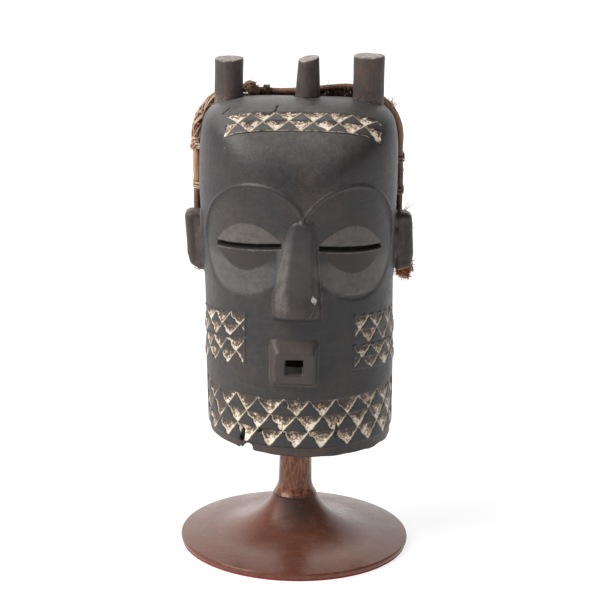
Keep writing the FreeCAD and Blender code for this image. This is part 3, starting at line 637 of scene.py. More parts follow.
# ---- materials ----------------------------------------------------------------------------------
def mask_paint():
    """Blackened wood: wear, painted lids, the pale cuts of the bands, scratches and the hollow."""
    paint = Paint("dark carved wood", specular=0.32)
    x, y, z, coat = paint.x, paint.y, paint.z, paint.layer
    u = x.arctan2(OFFSET - y) * ARC
    high = (z - SPRING).arctan2((OFFSET - y).max(0.001)) * CROWN_ARC + SPRING
    cloud, fine = paint.noise(38), paint.noise(5, 5, 0.65, seed=3)
    streaks = paint.noise(7, 4, 0.6, (0.35, 0.35, 2.2), 5)
    up = paint.normal_z()
    edge = paint.geometry("Pointiness")
    coat((0.038, 0.035, 0.036))
    coat((0.060, 0.047, 0.040), cloud.ramp(0.42, 0.66) * 0.8)
    coat((0.022, 0.020, 0.021), fine.ramp(0.62, 0.34) * 0.5)
    coat((0.060, 0.056, 0.055), streaks.ramp(0.52, 0.75) * 0.45)
    # Upward-facing surfaces lighter: dust, and partly painted light from above.
    coat((0.20, 0.185, 0.175), up.ramp(0.35, 0.98) * fine.ramp(0.1, 0.9, 0.4, 1.0) * 0.75)
    # Painted shade: the right side darker, away from the key light.
    coat((0.020, 0.018, 0.019), u.ramp(15, 85) * 0.55)
    on_ear = x.abs().ramp(88, 92) * z.ramp(256, 262) * z.ramp(324, 318) * y.ramp(40, 34)
    coat((0.085, 0.062, 0.053), on_ear * fine.ramp(0.25, 0.7, 0.2, 0.9))
    # Painted shade: near black in the eye slits and the mouth hole.
    dark = (y > 200.0) * 0.0  # becomes 1 in the slits and down the mouth
    for eye in EYES.values():
        across = u - eye["lid"]
        rise = z - across * eye["slope"] - eye["slit"]
        taper = (1.0 - (across * (1 / LID_HALF)).square()).max(0.0)
        over = (rise * (1 / LID_TALL)) / taper.max(0.05)
        near = across.abs() < LID_HALF
        upper = over.ramp(0.02, 0.08) * over.ramp(1.02, 0.94) * near
        coat((0.125, 0.108, 0.096), upper * fine.ramp(0.15, 0.75, 0.3, 0.95))
        lower = over.ramp(-0.04, -0.12) * over.ramp(-1.0, -0.9) * near
        coat((0.036, 0.027, 0.024), lower * 0.85)
        # Painted highlight: a light line along the slit's lower lip.
        lip_highlight = rise.ramp(-4.6, -3.9) * rise.ramp(-2.9, -3.3)
        lip_highlight = lip_highlight * across.abs().ramp(LID_HALF, LID_HALF - 4.0)
        coat((0.16, 0.145, 0.13), lip_highlight * fine.ramp(0.35, 0.6) * 0.7)
        # Painted shade inside the slit.
        slit = rise.abs().ramp(2.9, 2.3) * across.abs().ramp(LID_HALF - 1.0, LID_HALF - 3.0)
        dark = dark + slit * (y < -30.0)
        du = (u - (z - EYE_HEIGHT) * eye["lean"] - eye["middle"]) * (1 / EYE_HALF)
        dv = (z - EYE_HEIGHT) * (1 / EYE_HALF)
        ring = (du.square() + dv.square()).root()
        below = over * near + (near * 2.0 - 2.0)
        pale = ring.ramp(0.98, 0.88) * dv.ramp(-0.18, -0.42) * below.ramp(-1.0, -1.1)
        coat((0.118, 0.114, 0.108), pale * fine.ramp(0.2, 0.8, 0.35, 0.9))
    nose = u.abs().ramp(29, 20) * z.ramp(276, 254) * z.ramp(240, 246)
    mouth_x, mouth_z = (x - MOUTH[0]).abs(), (z - MOUTH[1]).abs()
    mouth = mouth_x.max(mouth_z).ramp(23.5, 21.0) * (y < -40.0)
    brown = (nose * 0.8 + mouth).min(1.0)
    coat((0.064, 0.049, 0.044), brown * fine.ramp(0.1, 0.7, 0.4, 0.95))
    coat((0.075, 0.048, 0.038), z.ramp(121, 117) * cloud.ramp(0.35, 0.6) * 0.8)
    # Painted shade: a dark line along the step of the groove above the bottom edge.
    groove = ((z - (RIM_BAND - 0.1)).abs() * -1.0).ramp(-0.9, -0.2)
    coat((0.016, 0.013, 0.012), groove * 0.8)
    cream, worn = paint.noise(1.9, 5, 0.72, seed=9), paint.noise(8, 4, 0.6, seed=12)
    spots = paint.noise(3.4, 4, 0.65, seed=17)
    slip = (paint.noise(6, 3, seed=41) - 0.5) * 6.0
    drift = (paint.noise(6, 3, seed=42) - 0.5) * 6.0
    places = pattern_places(u + slip, x + slip, z + drift, y, high + drift)
    for field, where, place, faded in places:
        depth, part, inside = painted_triangles(*place, field)
        white = depth.ramp(-0.3, 0.35) * inside * where
        tone = worn + (part - 0.45) * 0.34 - faded
        coat((0.135, 0.085, 0.058), white * 0.92)
        coat((0.045, 0.036, 0.032), white * (tone + spots * 0.5).ramp(0.78, 0.60) * 0.85)
        coat((0.42, 0.31, 0.21), white * (cream + tone - 0.5).ramp(0.36, 0.50) * 0.95)
        coat((0.84, 0.76, 0.63), white * (cream + tone - 0.5).ramp(0.50, 0.60) * 0.95)
        coat((0.045, 0.032, 0.026), white * spots.ramp(0.55, 0.60) * 0.9)
        line = (depth.abs() * -1.0).ramp(-0.95, -0.35) * inside * where
        coat((0.62, 0.52, 0.39), line * (fine * 0.6 + tone).ramp(0.42, 0.70) * 0.9)
    brow = high + x.square() * BROW_SAG + drift * 0.2
    on_brow = ((x - 1.5).abs() < BROW_HALF) * (y < 5.0)
    line = (brow - BROW["top"] + 2 * BROW["tall"] + 1.0)
    worn_edge = line.ramp(2.2, 1.5) * line.ramp(0.4, 1.1) * on_brow
    coat((0.30, 0.24, 0.17), worn_edge * spots.ramp(0.4, 0.55))
    coat((0.010, 0.009, 0.009), (line.abs() * -1.0).ramp(-1.0, -0.5) * on_brow)
    for scratch in SCRATCHES:
        gap = painted_gap(x, brow, *scratch)
        coat((0.008, 0.007, 0.007), gap.ramp(1.1, 0.6) * (y < 5.0))
    # Painted light: the nose's left flank lighter, on the side toward the key light.
    nose_flank_light = u.ramp(-5, -12) * u.ramp(-22, -18) * z.ramp(252, 262) * z.ramp(330, 312)
    coat((0.125, 0.108, 0.096), nose_flank_light * fine.ramp(0.25, 0.65, 0.25, 0.85))
    ridge = (u - 1.5).abs().ramp(12, 6) * z.ramp(262, 272) * z.ramp(330, 318)
    coat((0.062, 0.056, 0.055), ridge * cloud.ramp(0.3, 0.6, 0.2, 0.6))
    # Painted shadow: a dark line just under the nose.
    under = z.ramp(239.5, 242.5) * z.ramp(246.5, 244.5) * (u + 1.0).abs().ramp(23, 21)
    coat((0.014, 0.012, 0.012), under * 0.8)
    chip = (u - 12.0 + (z - 266.0) * 0.3).abs() * 2.0 + (z - 266.0).abs()
    chip = chip.ramp(5.4, 4.6) * (y < -50.0)
    coat((0.60, 0.57, 0.52), chip * spots.ramp(0.36, 0.5) * 0.9)
    coat((0.23, 0.215, 0.195), edge.ramp(0.512, 0.58) * fine.ramp(0.25, 0.6) * 0.8)
    coat((0.014, 0.012, 0.011), edge.ramp(0.488, 0.43) * 0.75)
    speck_zone = paint.noise(26, 2, 0.5, seed=21).ramp(0.52, 0.66)
    coat((0.66, 0.63, 0.58), paint.dots(6.0, 0.42) * speck_zone * 0.8)
    coat((0.36, 0.34, 0.31), paint.dots(2.4, 0.26) * fine.ramp(0.5, 0.7) * 0.6)
    inner = (barrel_inside(paint) < 0.0)
    coat((0.045, 0.029, 0.022), inner)
    coat((0.080, 0.054, 0.041), inner * streaks.ramp(0.45, 0.7) * 0.7)
    # Painted shade in the mouth hole: its walls darker, its upper part near black.
    hole = (x - MOUTH_HOLE[0]).abs() < (MOUTH_HOLE[2] + 0.6)
    hole = hole * ((z - MOUTH_HOLE[1]).abs() < (MOUTH_HOLE[3] + 0.6)) * y.ramp(-81.5, -77.0)
    coat((0.030, 0.017, 0.012), hole)
    dark = dark + hole * (z > (MOUTH_HOLE[1] - MOUTH_HOLE[3] + 1.4))
    coat((0.008, 0.006, 0.005), dark.min(1.0))
    rough = paint.noise(1.6, 2, 0.5, seed=30)
    paint.raise_by(streaks * 0.35, fine * 0.4, rough * 0.2, cream * 0.3)
    gloss = fine.ramp(0.2, 0.8, 0.34, 0.52) + inner * 0.2
    return paint.finish(gloss + dark.min(1.0) * 0.4, bump=0.0009)


def painted_gap(x, v, x0, v0, x1, v1):
    """The shader's copy of segment_gap()."""
    wide, tall = x1 - x0, v1 - v0
    along = (((x - x0) * wide + (v - v0) * tall) * (1 / (wide**2 + tall**2))).max(0.0).min(1.0)
    return ((x - x0 - along * wide).square() + (v - v0 - along * tall).square()).root()


def pattern_places(u, x, z, y, high):
    """(field, where, (across, height), how faded) for every band of triangles."""
    worn_left = u.ramp(-62, -92) * 0.16
    yield CHIN, u.abs() < BAND_REACH, (u, z), z.ramp(138, 160) * 0.10 + worn_left
    for side in (-1, 1):
        inner = ((u * side) > (CHEEK_INNER[side] + 2.4)) * ((u * side) < BAND_REACH)
        sloped = z + (u * side - CHEEK_INNER[side]) * CHEEK_FALL[side]
        for field in CHEEKS[side]:
            yield field, inner, (u, sloped), u * 0.0 + 0.09
    brow_height = high + x.square() * BROW_SAG
    on_brow = ((x - 1.5).abs() < BROW_HALF) * (z > SPRING) * (y < 5.0)
    yield BROW, on_brow, (x, brow_height), u * 0.0 - 0.05


def barrel_inside(paint):
    """Negative inside the hollow: a plain oval between the wood's two faces tells them apart."""
    wide, deep, rise = BETWEEN
    across = paint.x.abs() * (1 / wide)
    front = ((paint.y - OFFSET) * (1 / deep)).min(0.0)
    up = ((paint.z - SPRING) * (1 / rise)).max(0.0)
    arch = (across.node("POWER", SQUARE) + up.node("POWER", SQUARE)).node("POWER", 2 / SQUARE)
    return arch + front.square() - 1.0


def stand_paint():
    """One red-brown wood: upright flecked grain on the post, grain across the foot."""
    paint = Paint("red brown turned wood", specular=0.5)
    x, y, z, coat = paint.x, paint.y, paint.z, paint.layer
    foot = z.ramp(49.0, 47.5)
    tall = paint.noise(1.5, 5, 0.6, (1, 1, 0.05), 2)
    wide = paint.noise(2.6, 5, 0.6, (0.06, 1, 1), 7)
    broad = paint.noise(22, 4, 0.55, (0.4, 1, 1), 6)
    paint.shader.inputs["Specular Tint"].default_value = (1.0, 0.72, 0.62, 1.0)
    coat((0.112, 0.036, 0.020))
    mottle = paint.noise(2.6, 4, 0.65, (1, 1, 0.35), 31)
    coat((0.36, 0.150, 0.080), mottle.ramp(0.42, 0.60) * (1.0 - foot) * 0.85)
    coat((0.19, 0.080, 0.055), wide.ramp(0.45, 0.75) * foot * 0.5)
    grain = paint.noise(1.1, 3, 0.6, (0.35, 1, 1), 33)
    coat((0.24, 0.11, 0.075), grain.ramp(0.54, 0.66) * foot * 0.45)
    coat((0.060, 0.026, 0.020), grain.ramp(0.46, 0.36) * foot * 0.45)
    coat((0.115, 0.050, 0.038), broad.ramp(0.45, 0.7) * 0.55)
    flecks = paint.noise(1.2, 2, 0.5, (1, 1, 0.08), 14)
    coat((0.040, 0.018, 0.014), flecks.ramp(0.60, 0.70) * (1.0 - foot) * 0.75)
    band = z.ramp(45.6, 46.8) * z.ramp(51.5, 48.5)
    coat((0.045, 0.022, 0.018), band * 0.45)
    # Painted shadow of the mask on the foot in front of the post.
    painted_foot_shadow = x.abs().ramp(28, 6) * y.ramp(-6, -13) * z.ramp(19, 33) * foot
    coat((0.030, 0.018, 0.017), painted_foot_shadow * broad.ramp(0.3, 0.6, 0.5, 0.9))
    haze = paint.noise(15, 5, 0.65, seed=20)
    coat((0.33, 0.235, 0.20), haze.ramp(0.55, 0.78) * foot * 0.2)
    coat((0.45, 0.36, 0.32), paint.dots(17, 0.7) * foot * 0.5)
    coat((0.10, 0.040, 0.030), tall.ramp(0.55, 0.7) * (1.0 - foot) * 0.6)
    # Painted shade on the post's front, where it shows through the mouth hole.
    painted_post_shade = z.ramp(146, 158) * z.ramp(226, 214) * y.ramp(-3, -6)
    coat((0.006, 0.004, 0.004), painted_post_shade)
    paint.raise_by(tall * 0.5)
    gloss = haze.ramp(0.3, 0.75, 0.22, 0.34)
    return paint.finish(gloss + (painted_post_shade + painted_foot_shadow).min(1.0) * 0.4, bump=0.0001)


def peg_paint():
    """Brown wood with pale, dusty ends, their tops partly painted light from above."""
    paint = Paint("weathered peg wood", specular=0.35)
    z, coat = paint.z, paint.layer
    grain = paint.noise(2.4, 5, 0.6, (1, 1, 0.12), 2)
    broad = paint.noise(9, 4, 0.6, (1, 1, 0.6), 6)
    up, edge = paint.normal_z(), paint.geometry("Pointiness")
    coat((0.062, 0.047, 0.043))
    coat((0.098, 0.076, 0.066), grain.ramp(0.45, 0.72) * 0.6)
    coat((0.13, 0.070, 0.045), broad.ramp(0.52, 0.68) * 0.6)
    coat((0.032, 0.025, 0.024), broad.ramp(0.46, 0.32) * 0.6)
    # Upward-facing tops lighter: dust, and partly painted light from above.
    coat((0.46, 0.40, 0.37), up.ramp(0.4, 0.9) * paint.noise(3, 4).ramp(0.25, 0.6) * 0.85)
    coat((0.42, 0.35, 0.28), edge.ramp(0.53, 0.60) * paint.noise(4, 3).ramp(0.35, 0.6))
    coat((0.025, 0.02, 0.018), paint.dots(7, 0.7, (1, 1, 0.3)) * 0.7)
    coat((0.45, 0.41, 0.37), paint.dots(5, 0.3) * broad.ramp(0.45, 0.6) * 0.7)
    dust = z.ramp(433, 423) * paint.noise(2.5, 4).ramp(0.38, 0.62)
    coat((0.20, 0.165, 0.135), dust * 0.8)
    paint.raise_by(grain * 0.5, broad * 0.5)
    return paint.finish(grain.ramp(0.2, 0.8, 0.5, 0.7), bump=0.0006)


def cane_paint():
    """Red-brown cane with a tan stretch down the left leg."""
    paint = Paint("red brown cane", specular=0.35)
    x, z, coat = paint.x, paint.z, paint.layer
    grain = paint.noise(1.6, 5, 0.6, (1, 1, 0.08), 3)
    patch = paint.noise(11, 4, 0.6, seed=8)
    coat((0.125, 0.060, 0.042))
    coat((0.24, 0.115, 0.070), grain.ramp(0.42, 0.68) * 0.8)
    left = x.ramp(-60, -80) * z.ramp(322, 345) * z.ramp(392, 372)
    right = x.ramp(60, 80) * z.ramp(345, 400)
    coat((0.50, 0.29, 0.165), (left + right * 0.6).min(1.0) * grain.ramp(0.3, 0.6, 0.45, 0.95))
    coat((0.055, 0.028, 0.022), patch.ramp(0.56, 0.7) * 0.7)
    # Painted light: the cane's upward-facing top over the crown lighter.
    crown = z.ramp(418, 426) * paint.normal_z().ramp(0.1, 0.8)
    coat((0.40, 0.20, 0.15), crown * grain.ramp(0.3, 0.6) * 0.7)
    paint.raise_by(grain * 0.6)
    return paint.finish(grain.ramp(0.2, 0.8, 0.42, 0.62), bump=0.0004)


def raffia_paint():
    """Dry raffia: pale at the left shoulder, browner at the crown, painted shade under the cane."""
    paint = Paint("dry raffia", roughness=0.75, specular=0.25)
    x, z, coat = paint.x, paint.z, paint.layer
    patch, fine = paint.noise(6, 4, 0.65), paint.noise(2.2, 4, 0.7, seed=4)
    crown = z.ramp(412, 420) * x.abs().ramp(78, 66)
    # Painted shade under the cane, on the crown right of the middle.
    dark = crown * x.ramp(6, 14)
    coat((0.36, 0.21, 0.13))
    coat((0.62, 0.47, 0.34), patch.ramp(0.38, 0.6) * 0.9)
    coat((0.80, 0.68, 0.55), fine.ramp(0.52, 0.7) * 0.8)
    coat((0.34, 0.165, 0.085), crown * patch.ramp(0.62, 0.42) * 0.9)
    coat((0.022, 0.013, 0.010), dark * fine.ramp(0.66, 0.56) * 0.97)
    coat((0.055, 0.028, 0.018), crown * (x + 33).abs().ramp(7, 5) * 0.9)
    plain = x.ramp(70, 80) * z.ramp(395, 380) * z.ramp(322, 328)
    coat((0.17, 0.085, 0.055), plain * 0.9)
    paint.raise_by(paint.noise(0.9, 3, 0.6) * 0.5)
    return paint.finish(bump=0.0004)


def fibre_paint(name, dark, light, pale):
    """Loose fibre in three tones."""
    paint = Paint(name, roughness=0.75, specular=0.25)
    paint.layer(dark)
    paint.layer(light, paint.noise(6, 4, 0.65).ramp(0.35, 0.62))
    paint.layer(pale, paint.noise(2.2, 4, 0.7, seed=4).ramp(0.55, 0.75))
    paint.raise_by(paint.noise(0.9, 3, 0.6) * 0.5)
    return paint.finish(bump=0.0004)


def plain_paint(name, color, light, roughness, metallic=0.0):
    """One colour with faint lighter patches."""
    paint = Paint(name, roughness=roughness)
    paint.layer(color)
    paint.layer(light, paint.noise(2.0, 4).ramp(0.4, 0.7))
    paint.shader.inputs["Metallic"].default_value = metallic
    return paint.finish()


def dress(thing, material, body, node):
    """Gives a piece its material and body, in place of a CAD node."""
    thing.data.materials.append(material)
    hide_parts(node)
    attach(thing, body)


# ---- pieces -------------------------------------------------------------------------------------
def make_shell():
    """The carved block with its hollow, over a box that just holds it."""
    return field_mesh("carved_shell", mask_field, (-113.0, -98.0, 103.0), (113.0, 54.0, 432.0))


def make_peg(name, tilt, nicks, seed, faceted=0.0):
    """A knife-cut peg with a worn top edge, a little out of round."""
    low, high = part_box(name)
    centre = middle_of(name)
    radius, foot, top = (high.x - low.x) * 500, low.z * 1000 + 0.2, high.z * 1000
    rng = random.Random(seed)
    turns = [rng.uniform(0, 6.3) for _ in range(4)]
    sides, rings = 72, 26
    points = []
    levels = [foot + (top - foot) * (i / rings) ** 0.9 for i in range(rings)]
    insets = [1.0] * rings
    levels += [top, top + 0.35, top + 0.45]
    insets += [0.985, 0.94, 0.80]
    taper = 0.78 if faceted else 0.985
    for level, inset in zip(levels, insets):
        share = (min(level, top) - foot) / (top - foot)
        for k in range(sides):
            turn = 2 * math.pi * k / sides
            bump = 0.012 * math.sin(3 * turn + turns[0]) + 0.008 * math.sin(7 * turn + turns[1])
            bump += 0.012 * math.sin(share * 7 + turns[2] + 2 * turn) * share
            flat = faceted * (abs(math.cos(2 * turn + 0.4)) - 0.5)
            size = radius * inset * (1 + bump + flat) * (1 + (taper - 1) * share)
            size = min(size, radius * (1.0 if level < 427 else 1.2))
            px, py = math.cos(turn) * size, math.sin(turn) * size
            slope = (tilt[0] * px + tilt[1] * py) * share
            nick = 0.0
            for angle, width, deep in nicks:
                gap = (turn - angle + math.pi) % (2 * math.pi) - math.pi
                nick += deep * bell(gap, width)
            drop = nick * max(0.0, share - 0.9) * 10 * (1 if inset > 0.9 else 0.4)
            lean = 0.25 * (1 - taper) * radius * share if faceted else 0.0
            points.append((centre[0] + lean + px, centre[1] + py, level + slope - drop))
    faces = ring_faces(len(levels), sides)
    faces.append(tuple(range(sides - 1, -1, -1)))
    centre_point, start = len(points), len(points) - sides
    points.append(tuple(sum(p[i] for p in points[start:]) / sides for i in range(3)))
    faces.extend((start + k, start + (k + 1) % sides, centre_point) for k in range(sides))
    return mesh_object(f"cut_{name}", points, faces)


CANE_LEFT, CANE_RIGHT, CANE_BEND = (94.5, 98.3), (92.3, 92.3), 44.5
ROLL_LEFT, ROLL_RIGHT, ROLL_BEND = (88.0, 91.0), (84.5, 86.5), 37.0
CANE_Y, ROLL_Y = 48.5, 55.5


def cane_points():
    """The cane's line; over the crown it bows up a little between the middle and right pegs."""
    low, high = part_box("rim_cane")
    y, top = middle_of("rim_cane").y, high.z * 1000 - 3.5
    points = arch_line(y, low.z * 1000, top, CANE_BEND, CANE_LEFT, CANE_RIGHT)
    for p in points:
        if p.z > SPRING:
            p.z += 3.2 * bell(p.x - 36, 22) - 1.6 * bell(p.x + 15, 22)
    return wobbled(points, 0.45, 5)


def make_cane():
    """A cane of uneven thickness, with splinters lifting off it."""
    line = cane_points()
    rng = random.Random(3)
    radii = [(3.5 if p.x < -60 else 3.0) * (1 + 0.06 * math.sin(i * 0.31)
                                            + rng.uniform(-0.04, 0.04))
             for i, p in enumerate(line)]
    parts = [tube(line, radii, 14)]
    for k in range(14):
        i = rng.randrange(4, len(line) - 4)
        away = Vector((rng.uniform(-1, 1), rng.uniform(-0.6, 0.6), rng.uniform(-1, 1))).normalized()
        along = (line[i + 1] - line[i]).normalized()
        start = line[i] + away * 3.2
        parts.append(hair(start, along * rng.choice((-1, 1)) + away * 0.3, rng.uniform(6, 13), 0.4,
                          rng, 0.3))
    return joined("bent_cane", parts)


def make_roll():
    """Dark fibres laid up like a rope behind the cane."""
    low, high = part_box("rim_roll")
    y, top = middle_of("rim_roll").y, high.z * 1000 - 4.2
    core = arch_line(y, low.z * 1000, top, ROLL_BEND, ROLL_LEFT, ROLL_RIGHT, 2.4)
    parts = []
    strands = 6
    for s in range(strands):
        line = []
        for i, p in enumerate(core):
            before, after = core[max(i - 1, 0)], core[min(i + 1, len(core) - 1)]
            side = (after - before).normalized().cross(BACKWARD).normalized()
            turn = 2 * math.pi * s / strands + i * 0.24
            line.append(p + side * math.cos(turn) * 2.3 + BACKWARD * math.sin(turn) * 2.3)
        parts.append(tube(line, 1.75, 7))
    for shift, height, radius, seed, start in ((-4.2, 0.5, 2.6, 61, -50), (-3.6, 4.0, 2.3, 62, -50),
                                               (-3.4, 7.4, 2.3, 63, 12), (-2.6, 10.2, 1.8, 64, 16)):
        line = [Vector((x, y + shift, top + height)) for x in range(start, 50, 4)]
        parts.append(tube(wobbled(line, 0.5, seed, 0.3), radius, 8))
    return joined("fibre_roll", parts)


def loop_points(corners, bend=3.0):
    """A closed rounded loop through the corners."""
    points = []
    for i, corner in enumerate(corners):
        before, after = corners[i - 1], corners[(i + 1) % len(corners)]
        to_before, to_after = (before - corner).normalized(), (after - corner).normalized()
        for share in (0, 0.25, 0.5, 0.75, 1):
            a = corner + to_before * bend * (1 - share)
            b = corner + to_after * bend * share
            points.append(a.lerp(b, share) if 0 < share < 1 else (a if share == 0 else b))
        length = (after - corner).length - 2 * bend
        for step in (0.33, 0.66):
            points.append(corner + to_after * (bend + length * step))
    return points


def ring(centre, first, second, count):
    """Points round a closed oval, from its middle and two half widths as vectors."""
    turns = [2 * math.pi * k / count for k in range(count)]
    return [centre + first * math.cos(t) + second * math.sin(t) for t in turns]


def knot(centre, size, rng, turns=7):
    """A tight tangle of short loops, with loose ends."""
    parts = []
    for _ in range(turns):
        axis = scatter(rng).normalized()
        first = axis.orthogonal().normalized()
        second = axis.cross(first)
        wide, tall = size * rng.uniform(0.45, 1.0), size * rng.uniform(0.45, 1.0)
        loop = ring(centre, first * wide, second * tall, 14)
        parts.append(tube(loop, rng.uniform(0.55, 0.95), 6, closed=True))
    return parts


def lashing_turns(node, axis, seed):
    """Raffia turns over the CAD's loops: each a pair of thin strands, with a knot outside."""
    low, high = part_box(node)
    low, high = low * 1000, high * 1000
    rng = random.Random(seed)
    side = 1 if high.x > 0 else -1
    parts = []
    for middle in lashing_middles(node, axis):
        for turn in range(-1, 2):
            for strand in (-0.45, 0.45):
                shift = middle + turn * 1.9 + strand
                slack = rng.uniform(0.2, 0.9)
                slip = rng.uniform(-1, 1)
                front, back = low.y + slack, high.y - slack
                if axis == 2:
                    leg = CANE_RIGHT[1] - 0.5 if side > 0 else CANE_LEFT[0] + 1.5
                    outer = side * (leg + 4.0 + 0.3 * slack)
                    inner = (low.x if side > 0 else high.x) + side * slack
                    corners = ((inner, front, shift), (outer, front + 4, shift + slip),
                               (outer, back, shift), (inner, back, shift))
                else:
                    under, over = low.z + slack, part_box("rim_cane")[1].z * 1000 + 0.5 * slack
                    corners = ((shift, front, under), (shift + slip, 43.5, over),
                               (shift, 53.5, over - 1), (shift, back, over - 10),
                               (shift, back, under))
                loop = loop_points([Vector(c) for c in corners], 6.5 if axis == 2 else 2.4)
                parts.append(tube(loop, 0.5, 6, closed=True))
        if axis == 2:
            place = Vector((side * (abs(high.x if side > 0 else low.x) - 6.0), high.y - 3, middle))
        else:
            place = Vector((middle, high.y - 3, high.z - 14.0))
        parts.extend(knot(place, 2.4, rng, 4))
        for _ in range(3):
            way = (rng.uniform(-1, 1), rng.uniform(0.1, 0.8), rng.uniform(-1, 1))
            parts.append(hair(place, way, rng.uniform(4, 9), 1.2, rng, 0.35))
    return parts


def fluff(centre, way, spread, count, length, rng, radius=0.3):
    """A small spray of fibres from one place."""
    parts = []
    for _ in range(count):
        start = Vector(centre) + scatter(rng) * spread
        turn = Vector(way) + scatter(rng) * 0.55
        parts.append(hair(start, turn, rng.uniform(0.5, 1) * length, 0.7, rng, radius))
    return parts


def make_lashing(node, axis, seed):
    """The turns at one place, with the loose fibres that belong to them."""
    parts = lashing_turns(node, axis, seed)
    rng = random.Random(seed + 1)
    if node == "right_lashings":
        parts.extend(fluff((82, 49, 411), (0.35, -0.2, 1), 2.2, 34, 11, rng))
        for way in ((0.62, 0, 0.8), (0.75, 0, 0.62), (0.4, 0, 0.95)):
            parts.append(hair((96, 44, 312), way, 14, 0.05, rng, 0.42))
        parts.append(hair((100, 40, 301), (0.9, 0, -0.35), 20, 0.35, rng, 0.25, 10))
    if node == "left_lashings":
        parts.extend(knot(Vector((-99.5, 48, 372)), 5.2, rng, 9))
        parts.extend(fluff((-98, 48, 374), (0.1, -0.3, 0.6), 3.0, 24, 9, rng))
    if node == "crown_lashings":
        for place in ((24, 46, 422), (33, 48, 424), (41, 47, 421)):
            parts.extend(knot(Vector(place), 5.6, rng, 16))
        for _ in range(60):
            start = Vector((rng.uniform(17, 48), rng.uniform(42, 52), rng.uniform(414, 427)))
            way = (rng.uniform(-1, 1), rng.uniform(-0.4, 0.4), rng.uniform(-0.5, 0.3))
            parts.append(hair(start, way, rng.uniform(6, 15), 1.6, rng, 0.6))
    return joined(f"raffia_{node}", parts)


def ways_at(line, k):
    """Which way a line runs at a point, and the level way across it."""
    along = (line[k + 1] - line[k]).normalized()
    return along, along.cross(BACKWARD).normalized()


def make_wrap():
    """Untidy raffia laid along and round the cane's left shoulder, up to the peg."""
    line = [p for p in cane_points() if p.x < -44 and p.z > 366]
    rng = random.Random(17)
    parts = []
    for _ in range(20):
        first = rng.randrange(0, len(line) - 10)
        last = min(len(line) - 1, first + rng.randrange(7, 18))
        turn, twist = rng.uniform(0, 6.3), rng.choice((-1, 1)) * rng.uniform(0.15, 0.75)
        reach = rng.uniform(3.3, 4.3)
        path = []
        for k in range(first, last):
            side = ways_at(line, k)[1]
            turn += twist
            off = side * math.cos(turn) + BACKWARD * math.sin(turn)
            path.append(line[k] + off * (reach + rng.uniform(-0.2, 0.2)))
        parts.append(tube(path, rng.uniform(0.4, 0.75), 6))
    for _ in range(6):
        k = rng.randrange(1, len(line) - 2)
        along, side = ways_at(line, k)
        tilt = along * rng.uniform(-0.7, 0.7)
        loop = ring(line[k], (side + tilt) * 4.2, BACKWARD * 4.2, 18)
        parts.append(tube(loop, rng.uniform(0.45, 0.7), 6, closed=True))
    for _ in range(22):
        p = line[rng.randrange(len(line))]
        parts.extend(fluff(p, (-0.5, -0.2, 0.3), 2.5, 1, 7, rng, 0.28))
    return joined("raffia_wrap", parts)


def make_crown_knot():
    """A frayed knot beside the left peg that trails off along the cane."""
    centre = middle_of("crown_knot")
    rng = random.Random(23)
    parts = knot(centre + Vector((0.5, 0, 1)), 6.0, rng, 30)
    parts.extend(knot(centre + Vector((7, 0, -2.5)), 3.6, rng, 12))
    for _ in range(70):
        way = (rng.uniform(0.1, 1.4), rng.uniform(-0.5, 0.4), rng.uniform(-0.9, 0.35))
        start = centre + Vector((rng.uniform(-4, 5), rng.uniform(-4, 4), rng.uniform(-4, 5)))
        parts.append(hair(start, way, rng.uniform(5, 12), 0.8, rng, 0.36))
    return joined("raffia_crown_knot", parts)


def make_tuft(node, size, out, shift, seed):
    """A frayed end: a clump of short fibres round a tangled middle."""
    centre = middle_of(node) + Vector((out, 0, shift))
    rng = random.Random(seed)
    parts = [piece for _ in range(5) for piece in
             knot(centre + Vector([rng.uniform(-0.4, 0.4) * s for s in size]),
                  min(size) * 0.62, rng, 7)]
    for _ in range(int(14 * sum(size))):
        way = Vector([rng.gauss(0, 1) for _ in range(3)]).normalized()
        start = centre + Vector([w * s * rng.uniform(0.55, 0.9) for w, s in zip(way, size)])
        lean = way + Vector((0, 0, -0.9)) + Vector([rng.gauss(0, 0.5) for _ in range(3)])
        parts.append(hair(start, lean, rng.uniform(2.5, 7), 1.4, rng, 0.42, 5))
    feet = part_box("rim_roll")[0].z * 1000
    legs = (-ROLL_LEFT[0], -CANE_LEFT[0]) if centre.x < 0 else (ROLL_RIGHT[0], CANE_RIGHT[0])
    for _ in range(44):
        start = Vector((rng.choice(legs) + rng.uniform(-3, 3), 0, feet + rng.uniform(-1, 5)))
        start.y = CANE_Y if abs(abs(start.x) - abs(legs[1])) < 3 else ROLL_Y
        start.y += rng.uniform(-3, 3)
        end = centre + Vector([rng.uniform(-0.6, 0.6) * s for s in size])
        parts.append(hair(start, end - start, (end - start).length, 0.25, rng, 0.75, 5))
    return joined(f"fibre_{node}", parts)


